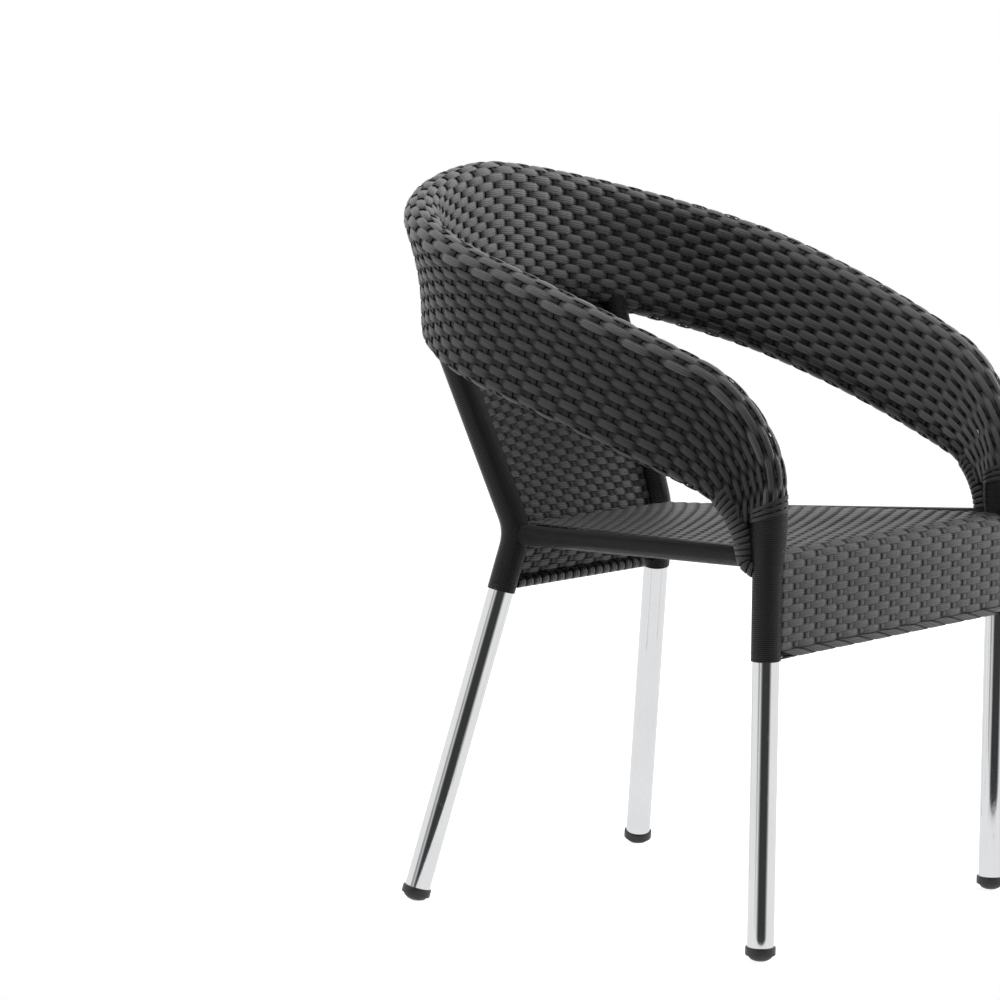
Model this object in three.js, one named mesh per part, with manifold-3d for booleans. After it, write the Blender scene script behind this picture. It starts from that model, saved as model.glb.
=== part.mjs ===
// Woven cafe armchair: a bent tube frame inside a wraparound woven band, seat, apron and back panel.
// Units are millimetres. +Z is up, the sitter looks along -Y, and the origin is on the floor
// under the middle of the chair.
import * as THREE from 'three';
import { mergeVertices } from 'three/addons/utils/BufferGeometryUtils.js';
import Module from 'manifold-3d';

const wasm = await Module();
wasm.setup();

// Stock: the tubes and rods that the frame is bent from
const TUBE_DIAMETER = 28;
const TUBE_WALL = 1.6;
const RAIL_DIAMETER = 19;
const RAIL_WALL = 1.5;
const ROD_DIAMETER = 16;
const RIB_DIAMETER = 10;
const EDGE_ROD_DIAMETER = 6;

// Frame layout. Rises and drops are measured from the seat's front edge.
const SEAT_HEIGHT = 424;
const FRONT_LEG_SPACING = 476;
const FRONT_TO_REAR_FOOT = 462;
const REAR_FOOT_SPACING = 434;
const KNEE_SPACING = 276;
const KNEE_DROP = 19;
const KNEE_SETBACK = 385;
const KNEE_BEND_RADIUS = 60;
const LEG_JOINT_RISE = 31;

// Hoop: the rim of the arms and back
const HOOP_WIDTH = 584;
const HOOP_DEPTH = 530;
const CORNER_DEPTH = 210;
const ARM_RISE = 138;
const BACK_RISE = 356;
const FRONT_BEND_RADIUS = 78;
const ARM_RISE_SHARE = 1.55;

// Band: the double woven skin from the rim to its lower rod
const ROD_DROP_AT_ARM = 100;
const ROD_DROP_AT_BACK = 117;
const ROD_TUCK = 16;
const ROD_BEND_RADIUS = 50;
const BAND_START_DROP = 32;
const BAND_SKIN = 3.4;
const RIM_LOOSENESS = 1.6;
const ROD_LOOSENESS = 0.8;
const OUTER_WAIST = 5;
const INNER_WAIST = 2;
const UPRIGHT_STATION_SHARE = 0.68;
const ARM_RIB_STATION_SHARE = 0.42;

// Seat, apron and back panel
const SIDE_RAIL_FRONT_DROP = 8;
const SIDE_RAIL_REAR_DROP = 23;
const WEAVE_THICKNESS = 5;
const BACK_WEAVE_THICKNESS = 6;
const APRON_DEPTH = 107;
const BACK_RAIL_DROP = 77;
const BACK_PANEL_HOLLOW = 12;
const WEFT_PITCH = 7.5;
const WEFT_RELIEF = 1.1;
const BRACE_STATION_SHARES = [0.36, 0.7];

// Windings
const CANE_THICKNESS = 1.4;
const FRONT_WRAP_TAIL = 7;
const REAR_WRAP_TAIL = 8;
const STRIP_THICKNESS = 1.8;
const STRIP_GAP = 0.9;
const BACK_RAIL_TURNS = 17;
const BRAID_THICKNESS = 2;

// Feet
const CAP_WALL = 1.6;
const CAP_COLLAR = 9;
const CAP_DOME = 6.5;
const CAP_DOME_INSET = 3;
const CAP_FLOOR = 1.5;
const CAP_PLUG = 14;
const CAP_WORN_FLAT = 0.5;

// Fits and facets
const FIT = 0.3;
const CUT_OVERRUN = 20;
const TUBE_SIDES = 12;
const ROD_SIDES = 8;
const BEND_STEPS = 6;
const FAN_STEPS = 8;
const ARM_STEPS = 18;
const HALF = 0.5;

const tubeRadius = TUBE_DIAMETER * HALF;
const railRadius = RAIL_DIAMETER * HALF;
const rodRadius = ROD_DIAMETER * HALF;
const ribRadius = RIB_DIAMETER * HALF;
const edgeRodRadius = EDGE_ROD_DIAMETER * HALF;
const braidRadius = edgeRodRadius + FIT + BRAID_THICKNESS;
const rollRadius = railRadius + FIT;
const legX = FRONT_LEG_SPACING * HALF;
const armHeight = SEAT_HEIGHT + ARM_RISE;
const backHeight = SEAT_HEIGHT + BACK_RISE;
const kneeHeight = SEAT_HEIGHT - KNEE_DROP;
const legJointHeight = SEAT_HEIGHT + LEG_JOINT_RISE;
const bandStartHeight = SEAT_HEIGHT - BAND_START_DROP;
const apronRailHeight = SEAT_HEIGHT - APRON_DEPTH;
const backRailHeight = SEAT_HEIGHT - BACK_RAIL_DROP;
const caneRadius = tubeRadius + FIT + CANE_THICKNESS;
const railCaneRadius = railRadius + FIT + CANE_THICKNESS;
const UP = new THREE.Vector3(0, 0, 1);
const SIDES = [['right', -1], ['left', 1]];

const point = (x, y, z) => new THREE.Vector3(x, y, z);
const mirrored = (p, side) => point(-side * p.x, p.y, p.z);
const mix = THREE.MathUtils.lerp;

// Materials
const finish = (color, roughness, metalness) => new THREE.MeshStandardMaterial({ color, roughness, metalness });
const aluminium = finish(0xc9ccd0, 0.28, 1);
const bandWeave = finish(0x2a2b2d, 0.5, 0);
const seatWeave = finish(0x37383a, 0.5, 0);
const cane = finish(0x1d1d1f, 0.45, 0);
const capPlastic = finish(0x141415, 0.55, 0);

const chair = new THREE.Group();

function addPart(name, geometry, material) {
  const mesh = new THREE.Mesh(geometry, material);
  mesh.name = name;
  chair.add(mesh);
  return mesh;
}

// A route runs through fixed stations, and a section swept along it turns at each station.
class Route extends THREE.Curve {
  constructor(stations) {
    super();
    this.stations = stations;
  }

  getPoint(t, target = new THREE.Vector3()) {
    const last = this.stations.length - 1;
    const index = Math.min(Math.floor(t * last), last - 1);
    return target.lerpVectors(this.stations[index], this.stations[index + 1], t * last - index);
  }

  getPointAt(u, target) {
    return this.getPoint(u, target);
  }

  getTangentAt(u, target = new THREE.Vector3()) {
    const last = this.stations.length - 1;
    const index = Math.round(u * last);
    const here = this.stations[index];
    const ahead = this.stations[Math.min(index + 1, last)].clone().sub(here).normalize();
    const behind = here.clone().sub(this.stations[Math.max(index - 1, 0)]).normalize();
    return target.addVectors(ahead, behind).normalize();
  }
}

function ringPoints(radius, sides) {
  return Array.from({ length: sides }, (_, i) => {
    const angle = (i / sides) * Math.PI * 2;
    return new THREE.Vector2(Math.cos(angle) * radius, Math.sin(angle) * radius);
  });
}

// A tube of the given outer radius along the stations; a bore radius of zero makes a solid bar.
function tube(stations, radius, bore, sides = TUBE_SIDES) {
  const shape = new THREE.Shape(ringPoints(radius, sides));
  if (bore > 0) shape.holes.push(new THREE.Path(ringPoints(bore, sides)));
  return new THREE.ExtrudeGeometry(shape, {
    steps: stations.length - 1,
    extrudePath: new Route(stations),
    bevelEnabled: false,
  });
}

// Stations along a bent tube: straight runs joined by one round bend of the given radius.
function bentStations(start, corner, end, radius) {
  const incoming = corner.clone().sub(start).normalize();
  const outgoing = end.clone().sub(corner).normalize();
  const turn = incoming.angleTo(outgoing);
  const setback = radius * Math.tan(turn * HALF);
  const towardCentre = outgoing.clone().sub(incoming).normalize();
  const centre = corner.clone().addScaledVector(towardCentre, radius / Math.cos(turn * HALF));
  const arcStart = corner.clone().addScaledVector(incoming, -setback);
  const axis = new THREE.Vector3().crossVectors(incoming, outgoing).normalize();
  const stations = [start];
  for (let step = 0; step <= BEND_STEPS; step += 1) {
    const spoke = arcStart.clone().sub(centre).applyAxisAngle(axis, (turn * step) / BEND_STEPS);
    stations.push(centre.clone().add(spoke));
  }
  stations.push(end);
  return stations;
}

// Booleans
function toSolid(geometry) {
  const bare = geometry.clone();
  bare.deleteAttribute('normal');
  bare.deleteAttribute('uv');
  const merged = mergeVertices(bare);
  return new wasm.Manifold(new wasm.Mesh({
    numProp: 3,
    vertProperties: new Float32Array(merged.attributes.position.array),
    triVerts: new Uint32Array(merged.index.array),
  }));
}

function toGeometry(solid) {
  const mesh = solid.getMesh();
  const geometry = new THREE.BufferGeometry();
  geometry.setAttribute('position', new THREE.BufferAttribute(mesh.vertProperties, mesh.numProp));
  geometry.setIndex(new THREE.BufferAttribute(mesh.triVerts, 1));
  geometry.computeVertexNormals();
  return geometry;
}

function cut(geometry, ...tools) {
  return toGeometry(tools.reduce((solid, tool) => solid.subtract(toSolid(tool)), toSolid(geometry)));
}

const bar = (from, to, radius, sides = TUBE_SIDES) => tube([from, to], radius, 0, sides);

// The radius of a cutter whose flats still clear a round piece of the given radius
const clearOf = (radius, sides = TUBE_SIDES) => (radius + FIT) / Math.cos(Math.PI / sides);

// A closed skin through a row of loops. Each station has an outer loop, and may have a bore loop.
function loft(outerLoops, boreLoops = null) {
  const positions = [];
  const index = [];
  const count = outerLoops[0].length;
  const addLoops = (loops, flip) => {
    const base = positions.length / 3;
    loops.forEach((loop) => loop.forEach((p) => positions.push(p.x, p.y, p.z)));
    for (let row = 0; row < loops.length - 1; row += 1) {
      for (let i = 0; i < count; i += 1) {
        const a = base + row * count + i;
        const b = base + row * count + ((i + 1) % count);
        const c = b + count;
        const d = a + count;
        if (flip) index.push(a, c, b, a, d, c);
        else index.push(a, b, c, a, c, d);
      }
    }
    return base;
  };
  const outerBase = addLoops(outerLoops, false);
  const lastRow = (outerLoops.length - 1) * count;
  if (boreLoops) {
    const boreBase = addLoops(boreLoops, true);
    for (let i = 0; i < count; i += 1) {
      const next = (i + 1) % count;
      index.push(outerBase + i, boreBase + i, boreBase + next, outerBase + i, boreBase + next, outerBase + next);
      const [o, n] = [outerBase + lastRow + i, outerBase + lastRow + next];
      const [bo, bn] = [boreBase + lastRow + i, boreBase + lastRow + next];
      index.push(o, n, bn, o, bn, bo);
    }
  } else {
    // Each end is closed by rungs between the loop's two halves, which suits a thin bent section.
    const addCap = (a, b, c) => {
      index.push(outerBase + a, outerBase + c, outerBase + b);
      index.push(outerBase + lastRow + a, outerBase + lastRow + b, outerBase + lastRow + c);
    };
    for (let i = 0; i + 1 < count - 1 - i; i += 1) {
      const [next, back] = [count - 2 - i, count - 1 - i];
      addCap(i, next, back);
      if (i + 1 !== next) addCap(i, i + 1, next);
    }
  }
  const geometry = new THREE.BufferGeometry();
  geometry.setAttribute('position', new THREE.Float32BufferAttribute(positions, 3));
  geometry.setIndex(index);
  geometry.computeVertexNormals();
  return geometry;
}

// The hoop's plan: each arm eases outward from the front leg, then turns a rounded corner
// to the middle of the back. The walk is measured along the right half, from leg to middle.
const armLength = HOOP_DEPTH - CORNER_DEPTH;
const PLAN_SAMPLES = 120;
const planWalk = [];
for (let i = 0; i <= PLAN_SAMPLES; i += 1) {
  const share = i / PLAN_SAMPLES;
  const halfWidth = mix(HOOP_WIDTH * HALF, legX, (1 - share) ** 2);
  planWalk.push(point(-halfWidth, share * armLength, 0));
}
for (let i = 1; i <= PLAN_SAMPLES; i += 1) {
  const angle = (i / PLAN_SAMPLES) * Math.PI * HALF;
  const x = -HOOP_WIDTH * HALF * Math.cos(angle);
  planWalk.push(point(x, armLength + CORNER_DEPTH * Math.sin(angle), 0));
}
const planDistance = [0];
for (let i = 1; i < planWalk.length; i += 1) {
  planDistance.push(planDistance[i - 1] + planWalk[i].distanceTo(planWalk[i - 1]));
}
const planLength = planDistance[planDistance.length - 1];

function planAt(distance) {
  const found = planDistance.findIndex((d) => d >= Math.min(distance, planLength));
  const i = Math.max(found, 1);
  const share = (distance - planDistance[i - 1]) / (planDistance[i] - planDistance[i - 1]);
  const place = planWalk[i - 1].clone().lerp(planWalk[i], Math.min(share, 1));
  const along = planWalk[i].clone().sub(planWalk[i - 1]).normalize();
  const out = new THREE.Vector3().crossVectors(UP, along);
  return { place, out };
}

const riseAt = (distance) => 1 - (1 - Math.min(distance / planLength, 1)) ** ARM_RISE_SHARE;
const rimHeightAt = (distance) => mix(armHeight, backHeight, riseAt(distance));
const rodDropAt = (distance) => mix(ROD_DROP_AT_ARM, ROD_DROP_AT_BACK, riseAt(distance));
const rodTuckAt = (distance) => ROD_TUCK * riseAt(distance);
const rodStart = tubeRadius + rodRadius + FIT;
const rimSkinRadius = tubeRadius + RIM_LOOSENESS + BAND_SKIN;
const rodSkinRadius = rodRadius + ROD_LOOSENESS + BAND_SKIN;

// Rim and rod centres on the right half, by plan distance. The drop share lowers a point into the
// front bend, where both come down to run beside the leg.
function rimPoint(distance, dropShare = 0) {
  const rim = planAt(distance).place;
  rim.z = rimHeightAt(distance) - FRONT_BEND_RADIUS * dropShare;
  return rim;
}

function rodPoint(distance, dropShare = 0) {
  const { place, out } = planAt(distance);
  place.addScaledVector(out, -rodTuckAt(distance));
  place.z = rimHeightAt(distance) - rodDropAt(distance) - ROD_BEND_RADIUS * dropShare;
  return place;
}

// Square to the rising rim, the rod lies a little further round than straight below
function rodDistanceBelow(rimDistance) {
  const ahead = Math.min(rimDistance + FIT, planLength);
  const slope = (rimHeightAt(ahead) - rimHeightAt(rimDistance)) / FIT;
  return Math.min(rimDistance + (rodDropAt(rimDistance) * slope) / (1 + slope ** 2), planLength);
}

function armStation(share) {
  const rimDistance = mix(FRONT_BEND_RADIUS, planLength, share);
  const rodDistance = share < 1 ? rodDistanceBelow(rimDistance) : planLength;
  return { rim: rimPoint(rimDistance), rod: rodPoint(rodDistance) };
}

// The front bend opens like a fan: the rim rises, then turns; the rod turns, then runs on
const quarter = Math.PI * HALF;
const rimBendStart = rimPoint(0, 1);
const rodBendStart = rodPoint(rodStart, 1);
const rimRise = rimBendStart.z - rodBendStart.z;
const rimFanLength = rimRise + FRONT_BEND_RADIUS * quarter;
const rodBendEnd = rodStart + ROD_BEND_RADIUS;
const rodFanEnd = rodDistanceBelow(FRONT_BEND_RADIUS);
const rodFanLength = ROD_BEND_RADIUS * quarter + rodFanEnd - rodBendEnd;

function fanStation(share) {
  const rimTravel = share * rimFanLength - rimRise;
  const rimTurn = Math.max(rimTravel, 0) / FRONT_BEND_RADIUS;
  const rim = rimPoint(FRONT_BEND_RADIUS * (1 - Math.cos(rimTurn)), 1 - Math.sin(rimTurn));
  rim.z += Math.min(rimTravel, 0);
  const rodTurn = Math.min((share * rodFanLength) / ROD_BEND_RADIUS, quarter);
  const rodBeyond = share * rodFanLength - ROD_BEND_RADIUS * rodTurn;
  const rodDistance = rodStart + ROD_BEND_RADIUS * (1 - Math.cos(rodTurn)) + rodBeyond;
  return { rim, rod: rodPoint(rodDistance, 1 - Math.sin(rodTurn)) };
}

const atHeight = (p, z) => point(p.x, p.y, z);
const [neckRim, neckRod] = [rimBendStart, rodBendStart].map((p) => atHeight(p, bandStartHeight));
const bandHalf = [{ rim: neckRim, rod: neckRod }];
for (let step = 0; step < FAN_STEPS; step += 1) bandHalf.push(fanStation(step / FAN_STEPS));
for (let step = 0; step <= ARM_STEPS; step += 1) bandHalf.push(armStation(step / ARM_STEPS));
bandHalf[bandHalf.length - 1].rim.x = 0;
bandHalf[bandHalf.length - 1].rod.x = 0;
const flip = ({ rim, rod }) => ({ rim: mirrored(rim, 1), rod: mirrored(rod, 1) });
const bandStations = [...bandHalf, ...bandHalf.slice(0, -1).reverse().map(flip)];
const rimRoute = new Route(bandStations.map(({ rim }) => rim));
const rodRoute = new Route(bandStations.map(({ rod }) => rod));
bandStations.forEach((station, i) => {
  const share = i / (bandStations.length - 1);
  station.rimAlong = rimRoute.getTangentAt(share);
  station.rodAlong = rodRoute.getTangentAt(share);
  station.rodSkin = rodSkinRadius;
});

// At both feet the band closes round the leg alone
[bandStations[0], bandStations[bandStations.length - 1]].forEach((station) => {
  station.rod = station.rim.clone().lerp(station.rod, FIT / rodStart);
  station.rodSkin = rimSkinRadius;
});

// Band section: a roll round the hoop, a hollow outer side and a nearly flat inner side that
// close round the lower rod. The inset is how far inside the outer skin the loop runs.
const RIM_ARC_STEPS = 6;
const ROD_ARC_STEPS = 4;
const SIDE_STEPS = 4;
const fullDrop = ROD_DROP_AT_ARM * HALF;

function bandLoop({ rim, rod, rimAlong, rodAlong, rodSkin }, inset) {
  const across = rod.clone().sub(rim);
  const waistShare = THREE.MathUtils.smoothstep(across.length(), rodStart, fullDrop);
  const squareTo = (along) => {
    const down = across.clone().addScaledVector(along, -across.dot(along)).normalize();
    return { down, outward: new THREE.Vector3().crossVectors(along, down) };
  };
  const [rimAxes, rodAxes] = [squareTo(rimAlong), squareTo(rodAlong)];
  const around = (centre, { down, outward }, radius, angle) => centre.clone()
    .addScaledVector(down, -Math.sin(angle) * radius)
    .addScaledVector(outward, Math.cos(angle) * radius);
  const [rimR, rodR] = [rimSkinRadius - inset, rodSkin - inset];
  const side = (share, angle, waist) => {
    const top = around(rim, rimAxes, rimR, angle);
    const low = around(rod, rodAxes, rodR, angle);
    const hollow = waist * waistShare * Math.sin(share * Math.PI) * Math.cos(angle);
    return top.lerp(low, share).addScaledVector(rimAxes.outward, -hollow);
  };
  const loop = [];
  for (let i = 0; i <= RIM_ARC_STEPS; i += 1) {
    loop.push(around(rim, rimAxes, rimR, (i / RIM_ARC_STEPS) * Math.PI));
  }
  for (let i = 1; i < SIDE_STEPS; i += 1) loop.push(side(i / SIDE_STEPS, Math.PI, INNER_WAIST));
  for (let i = 0; i <= ROD_ARC_STEPS; i += 1) {
    loop.push(around(rod, rodAxes, rodR, (1 + i / ROD_ARC_STEPS) * Math.PI));
  }
  for (let i = SIDE_STEPS - 1; i > 0; i -= 1) loop.push(side(i / SIDE_STEPS, 0, OUTER_WAIST));
  return loop;
}

// Rear legs: one tube each, straight from the foot to a knee at seat level, then leaning back
// and out to the band's lower rod.
const capBottom = CAP_DOME - CAP_WORN_FLAT;
const rearFootX = REAR_FOOT_SPACING * HALF;
const kneePoint = point(-KNEE_SPACING * HALF, KNEE_SETBACK, kneeHeight);
const rearFloor = point(-rearFootX, FRONT_TO_REAR_FOOT, 0);
const rearDirection = kneePoint.clone().sub(rearFloor).normalize();
const rearAt = (height) => rearFloor.clone().lerp(kneePoint, height / kneeHeight);
const uprightStation = armStation(UPRIGHT_STATION_SHARE);
const rearFoot = rearFloor.clone().addScaledVector(rearDirection, capBottom + CAP_FLOOR + FIT);
const rearStations = bentStations(rearFoot, kneePoint, uprightStation.rod, KNEE_BEND_RADIUS);
const frontFloor = point(-legX, 0, 0);
const frontFoot = point(-legX, 0, capBottom + CAP_FLOOR + FIT);
const frontTop = point(-legX, 0, legJointHeight - FIT * HALF);

const placed = (points, side) => points.map((p) => mirrored(p, side));
const tubeBore = tubeRadius - TUBE_WALL;
const railBore = railRadius - RAIL_WALL;

const rodStations = bandStations.slice(1, -1).map(({ rod }) => rod);
const rodCutter = tube(rodStations, clearOf(rodRadius, ROD_SIDES), 0, ROD_SIDES);

// Rails between the legs
const crossRail = (place, radius, bore, cutter) => cut(
  tube([place, point(-place.x, place.y, place.z)], radius, bore, ROD_SIDES),
  ...cutter,
);
const legCutters = SIDES.map(([, side]) => bar(
  placed([frontFloor], side)[0],
  placed([frontTop], side)[0],
  clearOf(tubeRadius),
));
const rearCutters = SIDES.map(([, side]) => tube(placed(rearStations, side), clearOf(tubeRadius), 0));

const frontRailPlace = point(-legX, 0, SEAT_HEIGHT - WEAVE_THICKNESS - FIT - railRadius);
const sideRailRear = rearAt(SEAT_HEIGHT - SIDE_RAIL_REAR_DROP);
const rearRailPlace = sideRailRear.clone();
rearRailPlace.y -= BACK_WEAVE_THICKNESS * HALF + FIT + railRadius;
const apronRodSetting = rollRadius + WEAVE_THICKNESS - braidRadius;
const apronRailPlace = point(-legX, -apronRodSetting, apronRailHeight);
const backRailPlace = rearAt(backRailHeight);
const sideRailFront = point(-legX, 0, SEAT_HEIGHT - SIDE_RAIL_FRONT_DROP);

const railCutters = [
  bar(frontRailPlace, mirrored(frontRailPlace, 1), clearOf(railRadius)),
  bar(rearRailPlace, mirrored(rearRailPlace, 1), clearOf(railRadius)),
  bar(apronRailPlace, mirrored(apronRailPlace, 1), clearOf(edgeRodRadius)),
  bar(backRailPlace, mirrored(backRailPlace, 1), clearOf(ribRadius)),
];

addPart('seat_front_rail', crossRail(frontRailPlace, railRadius, railBore, legCutters), aluminium);
addPart('seat_rear_rail', crossRail(rearRailPlace, railRadius, railBore, rearCutters), aluminium);
addPart('apron_bottom_rail', crossRail(apronRailPlace, edgeRodRadius, 0, legCutters), aluminium);
addPart('back_bottom_rail', crossRail(backRailPlace, ribRadius, 0, rearCutters), aluminium);

SIDES.forEach(([label, side], i) => {
  const [foot, top] = placed([frontFoot, frontTop], side);
  addPart(`front_leg_${label}`, tube([foot, top], tubeRadius, tubeBore), aluminium);
  addPart(`rear_leg_${label}`, cut(tube(placed(rearStations, side), tubeRadius, tubeBore), rodCutter), aluminium);
  const [railFront, railRear] = placed([sideRailFront, sideRailRear], side);
  const rail = cut(tube([railFront, railRear], railRadius, railBore), legCutters[i], rearCutters[i], ...railCutters);
  addPart(`seat_side_rail_${label}`, rail, aluminium);
});

// Seat cross braces: solid rods that stop at the side rails
const sideRailAt = (share) => sideRailFront.clone().lerp(sideRailRear, share);
BRACE_STATION_SHARES.forEach((share, i) => {
  const place = sideRailAt(share);
  place.z -= railRadius - ribRadius;
  place.x += railRadius + FIT + CANE_THICKNESS;
  place.x += FIT + CANE_THICKNESS;
  addPart(`seat_cross_brace_${i + 1}`, bar(place, point(-place.x, place.y, place.z), ribRadius, ROD_SIDES), aluminium);
});

// Hoop tube and the band's lower rod
const hoopStart = point(-legX, 0, legJointHeight + FIT * HALF);
const rimPath = bandStations.map(({ rim }) => rim).filter(({ z }) => z > hoopStart.z + TUBE_WALL);
const hoopStations = [hoopStart, ...rimPath, mirrored(hoopStart, 1)];
addPart('arm_hoop_tube', tube(hoopStations, tubeRadius, tubeBore), aluminium);
const sideRailCutters = SIDES.map(([, side]) => bar(...placed([sideRailFront, sideRailRear], side), clearOf(railRadius)));
addPart('band_lower_rod', cut(tube(rodStations, rodRadius, 0, ROD_SIDES), ...sideRailCutters), aluminium);

// Ribs inside the band, from the rod up to the hoop
const ribShares = [['right_arm', ARM_RIB_STATION_SHARE, -1], ['right_back', UPRIGHT_STATION_SHARE, -1],
  ['middle', 1, -1], ['left_back', UPRIGHT_STATION_SHARE, 1], ['left_arm', ARM_RIB_STATION_SHARE, 1]];
ribShares.forEach(([label, share, side]) => {
  const { rim, rod } = armStation(share);
  const along = rim.clone().sub(rod).normalize();
  const low = rod.clone().addScaledVector(along, rodRadius + FIT);
  const high = rim.clone().addScaledVector(along, -tubeRadius - FIT);
  addPart(`band_rib_${label}`, bar(...placed([low, high], side), ribRadius, ROD_SIDES), aluminium);
});

// Woven band: the wraparound skin, notched where the rear uprights come in
const bandSkin = loft(
  bandStations.map((station) => bandLoop(station, 0)),
  bandStations.map((station) => bandLoop(station, BAND_SKIN)),
);
const uprightCutters = SIDES.map(([, side]) => tube(
  placed(rearStations.slice(-2), side),
  clearOf(tubeRadius),
  0,
));
addPart('band_weave', cut(bandSkin, ...uprightCutters, ...sideRailCutters, ...railCutters), bandWeave);
const bandEnvelope = loft(bandStations.map((station) => bandLoop(station, -FIT)));

// Windings round the legs and the side rails
SIDES.forEach(([label, side], i) => {
  const sideRail = placed([sideRailFront, sideRailRear], side);
  const frontEnds = placed([point(-legX, 0, apronRailHeight - FRONT_WRAP_TAIL), point(-legX, 0, bandStartHeight - FIT)], side);
  const frontWrap = tube(frontEnds, caneRadius, tubeRadius + FIT);
  addPart(`front_leg_wrap_${label}`, cut(frontWrap, ...railCutters, sideRailCutters[i]), cane);
  const rearWrapStations = [rearAt(backRailHeight - REAR_WRAP_TAIL), ...rearStations.slice(1)];
  const rearWrap = tube(placed(rearWrapStations, side), caneRadius, tubeRadius + FIT);
  addPart(`rear_leg_wrap_${label}`, cut(rearWrap, bandEnvelope, ...railCutters, sideRailCutters[i]), cane);
  const legEnvelopes = [
    bar(...placed([frontFloor, point(-legX, 0, legJointHeight + CUT_OVERRUN)], side), clearOf(caneRadius)),
    tube(placed(rearStations, side), clearOf(caneRadius), 0),
    bandEnvelope,
    ...railCutters,
  ];
  addPart(`side_rail_wrap_${label}`, cut(tube(sideRail, railCaneRadius, railRadius + FIT), ...legEnvelopes), cane);
});

// Feet: a collar over the tube's end, a plug in its bore and a dome worn flat where it stands
function footCap(floorPoint, direction) {
  const sleeveRadius = clearOf(tubeRadius);
  const plugRadius = tubeBore * Math.cos(Math.PI / TUBE_SIDES) - FIT;
  const collarRadius = sleeveRadius + CAP_WALL;
  const domeRadius = collarRadius - CAP_DOME_INSET;
  const profile = [];
  const domeSteps = BEND_STEPS * HALF;
  for (let i = 0; i <= domeSteps; i += 1) {
    const angle = (i / domeSteps) * Math.PI * HALF;
    profile.push(new THREE.Vector2(domeRadius * Math.sin(angle), -CAP_DOME * Math.cos(angle)));
  }
  profile.push(
    new THREE.Vector2(collarRadius, 0),
    new THREE.Vector2(collarRadius, CAP_COLLAR),
    new THREE.Vector2(sleeveRadius, CAP_COLLAR),
    new THREE.Vector2(sleeveRadius, CAP_FLOOR),
    new THREE.Vector2(plugRadius, CAP_FLOOR),
    new THREE.Vector2(plugRadius, CAP_PLUG),
    new THREE.Vector2(0, CAP_PLUG),
  );
  profile[0].x = 0;
  const geometry = new THREE.LatheGeometry(profile, TUBE_SIDES);
  geometry.applyQuaternion(new THREE.Quaternion().setFromUnitVectors(point(0, 1, 0), direction));
  const centre = floorPoint.clone().addScaledVector(direction, capBottom);
  geometry.translate(centre.x, centre.y, centre.z);
  const floorSize = TUBE_DIAMETER + CUT_OVERRUN;
  const floor = new THREE.BoxGeometry(floorSize, floorSize, CUT_OVERRUN);
  floor.translate(centre.x, centre.y, -CUT_OVERRUN * HALF);
  return cut(geometry, floor);
}

SIDES.forEach(([label, side]) => {
  const [front, rear] = placed([frontFloor, rearFloor], side);
  const lean = side === -1 ? rearDirection : mirrored(rearDirection, 1);
  addPart(`foot_cap_front_${label}`, footCap(front, UP), capPlastic);
  addPart(`foot_cap_rear_${label}`, footCap(rear, lean), capPlastic);
});

// Seat weave: over the rear rail, forward between the side rails and down over the front rail
const seatEdgeGap = railCaneRadius + FIT;
const seatPath = [];
const rearTop = rearRailPlace.z + railRadius + FIT;

// The sheet's wefts are ribs across it: each has a crest, and a valley where it meets the next
function weftPath(from, to, normal) {
  const wefts = Math.round(Math.hypot(to.y - from.y, to.z - from.z) / WEFT_PITCH);
  return Array.from({ length: wefts * 2 + 1 }, (_, i) => ({
    y: mix(from.y, to.y, i / (wefts * 2)),
    z: mix(from.z, to.z, i / (wefts * 2)),
    normal,
    thickness: WEAVE_THICKNESS - (i % 2 ? 0 : WEFT_RELIEF),
  }));
}

const rollTop = { y: 0, z: frontRailPlace.z + rollRadius };
seatPath.push(...weftPath({ y: rearRailPlace.y, z: rearTop }, rollTop, UP).slice(0, -1));
for (let step = 0; step <= BEND_STEPS; step += 1) {
  const angle = (step / BEND_STEPS) * Math.PI * HALF;
  const normal = point(0, -Math.sin(angle), Math.cos(angle));
  const [y, z] = [-rollRadius * Math.sin(angle), frontRailPlace.z + rollRadius * Math.cos(angle)];
  seatPath.push({ y, z, normal, thickness: WEAVE_THICKNESS });
}

function seatHalfWidth(y) {
  const share = THREE.MathUtils.clamp(y / sideRailRear.y, 0, 1);
  const atRail = -mix(sideRailFront.x, sideRailRear.x, share) - seatEdgeGap;
  return Math.min(atRail, legX - caneRadius - FIT);
}

const panelLoop = (halfWidth, y, z, normal, thickness) => {
  const inner = [point(-halfWidth, y, z), point(halfWidth, y, z)];
  const lift = (p) => p.clone().addScaledVector(normal, thickness);
  return [inner[0], inner[1], lift(inner[1]), lift(inner[0])];
};
const seatLoops = seatPath.map(({ y, z, normal, thickness }) => panelLoop(seatHalfWidth(y), y, z, normal, thickness));
const seatCutters = [
  bandEnvelope,
  ...SIDES.map(([, side]) => tube(placed(rearStations, side), clearOf(caneRadius), 0)),
  ...SIDES.map(([, side]) => bar(...placed([sideRailFront, sideRailRear], side), clearOf(railCaneRadius))),
];
addPart('seat_weave', cut(loft(seatLoops), ...seatCutters), seatWeave);

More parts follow.
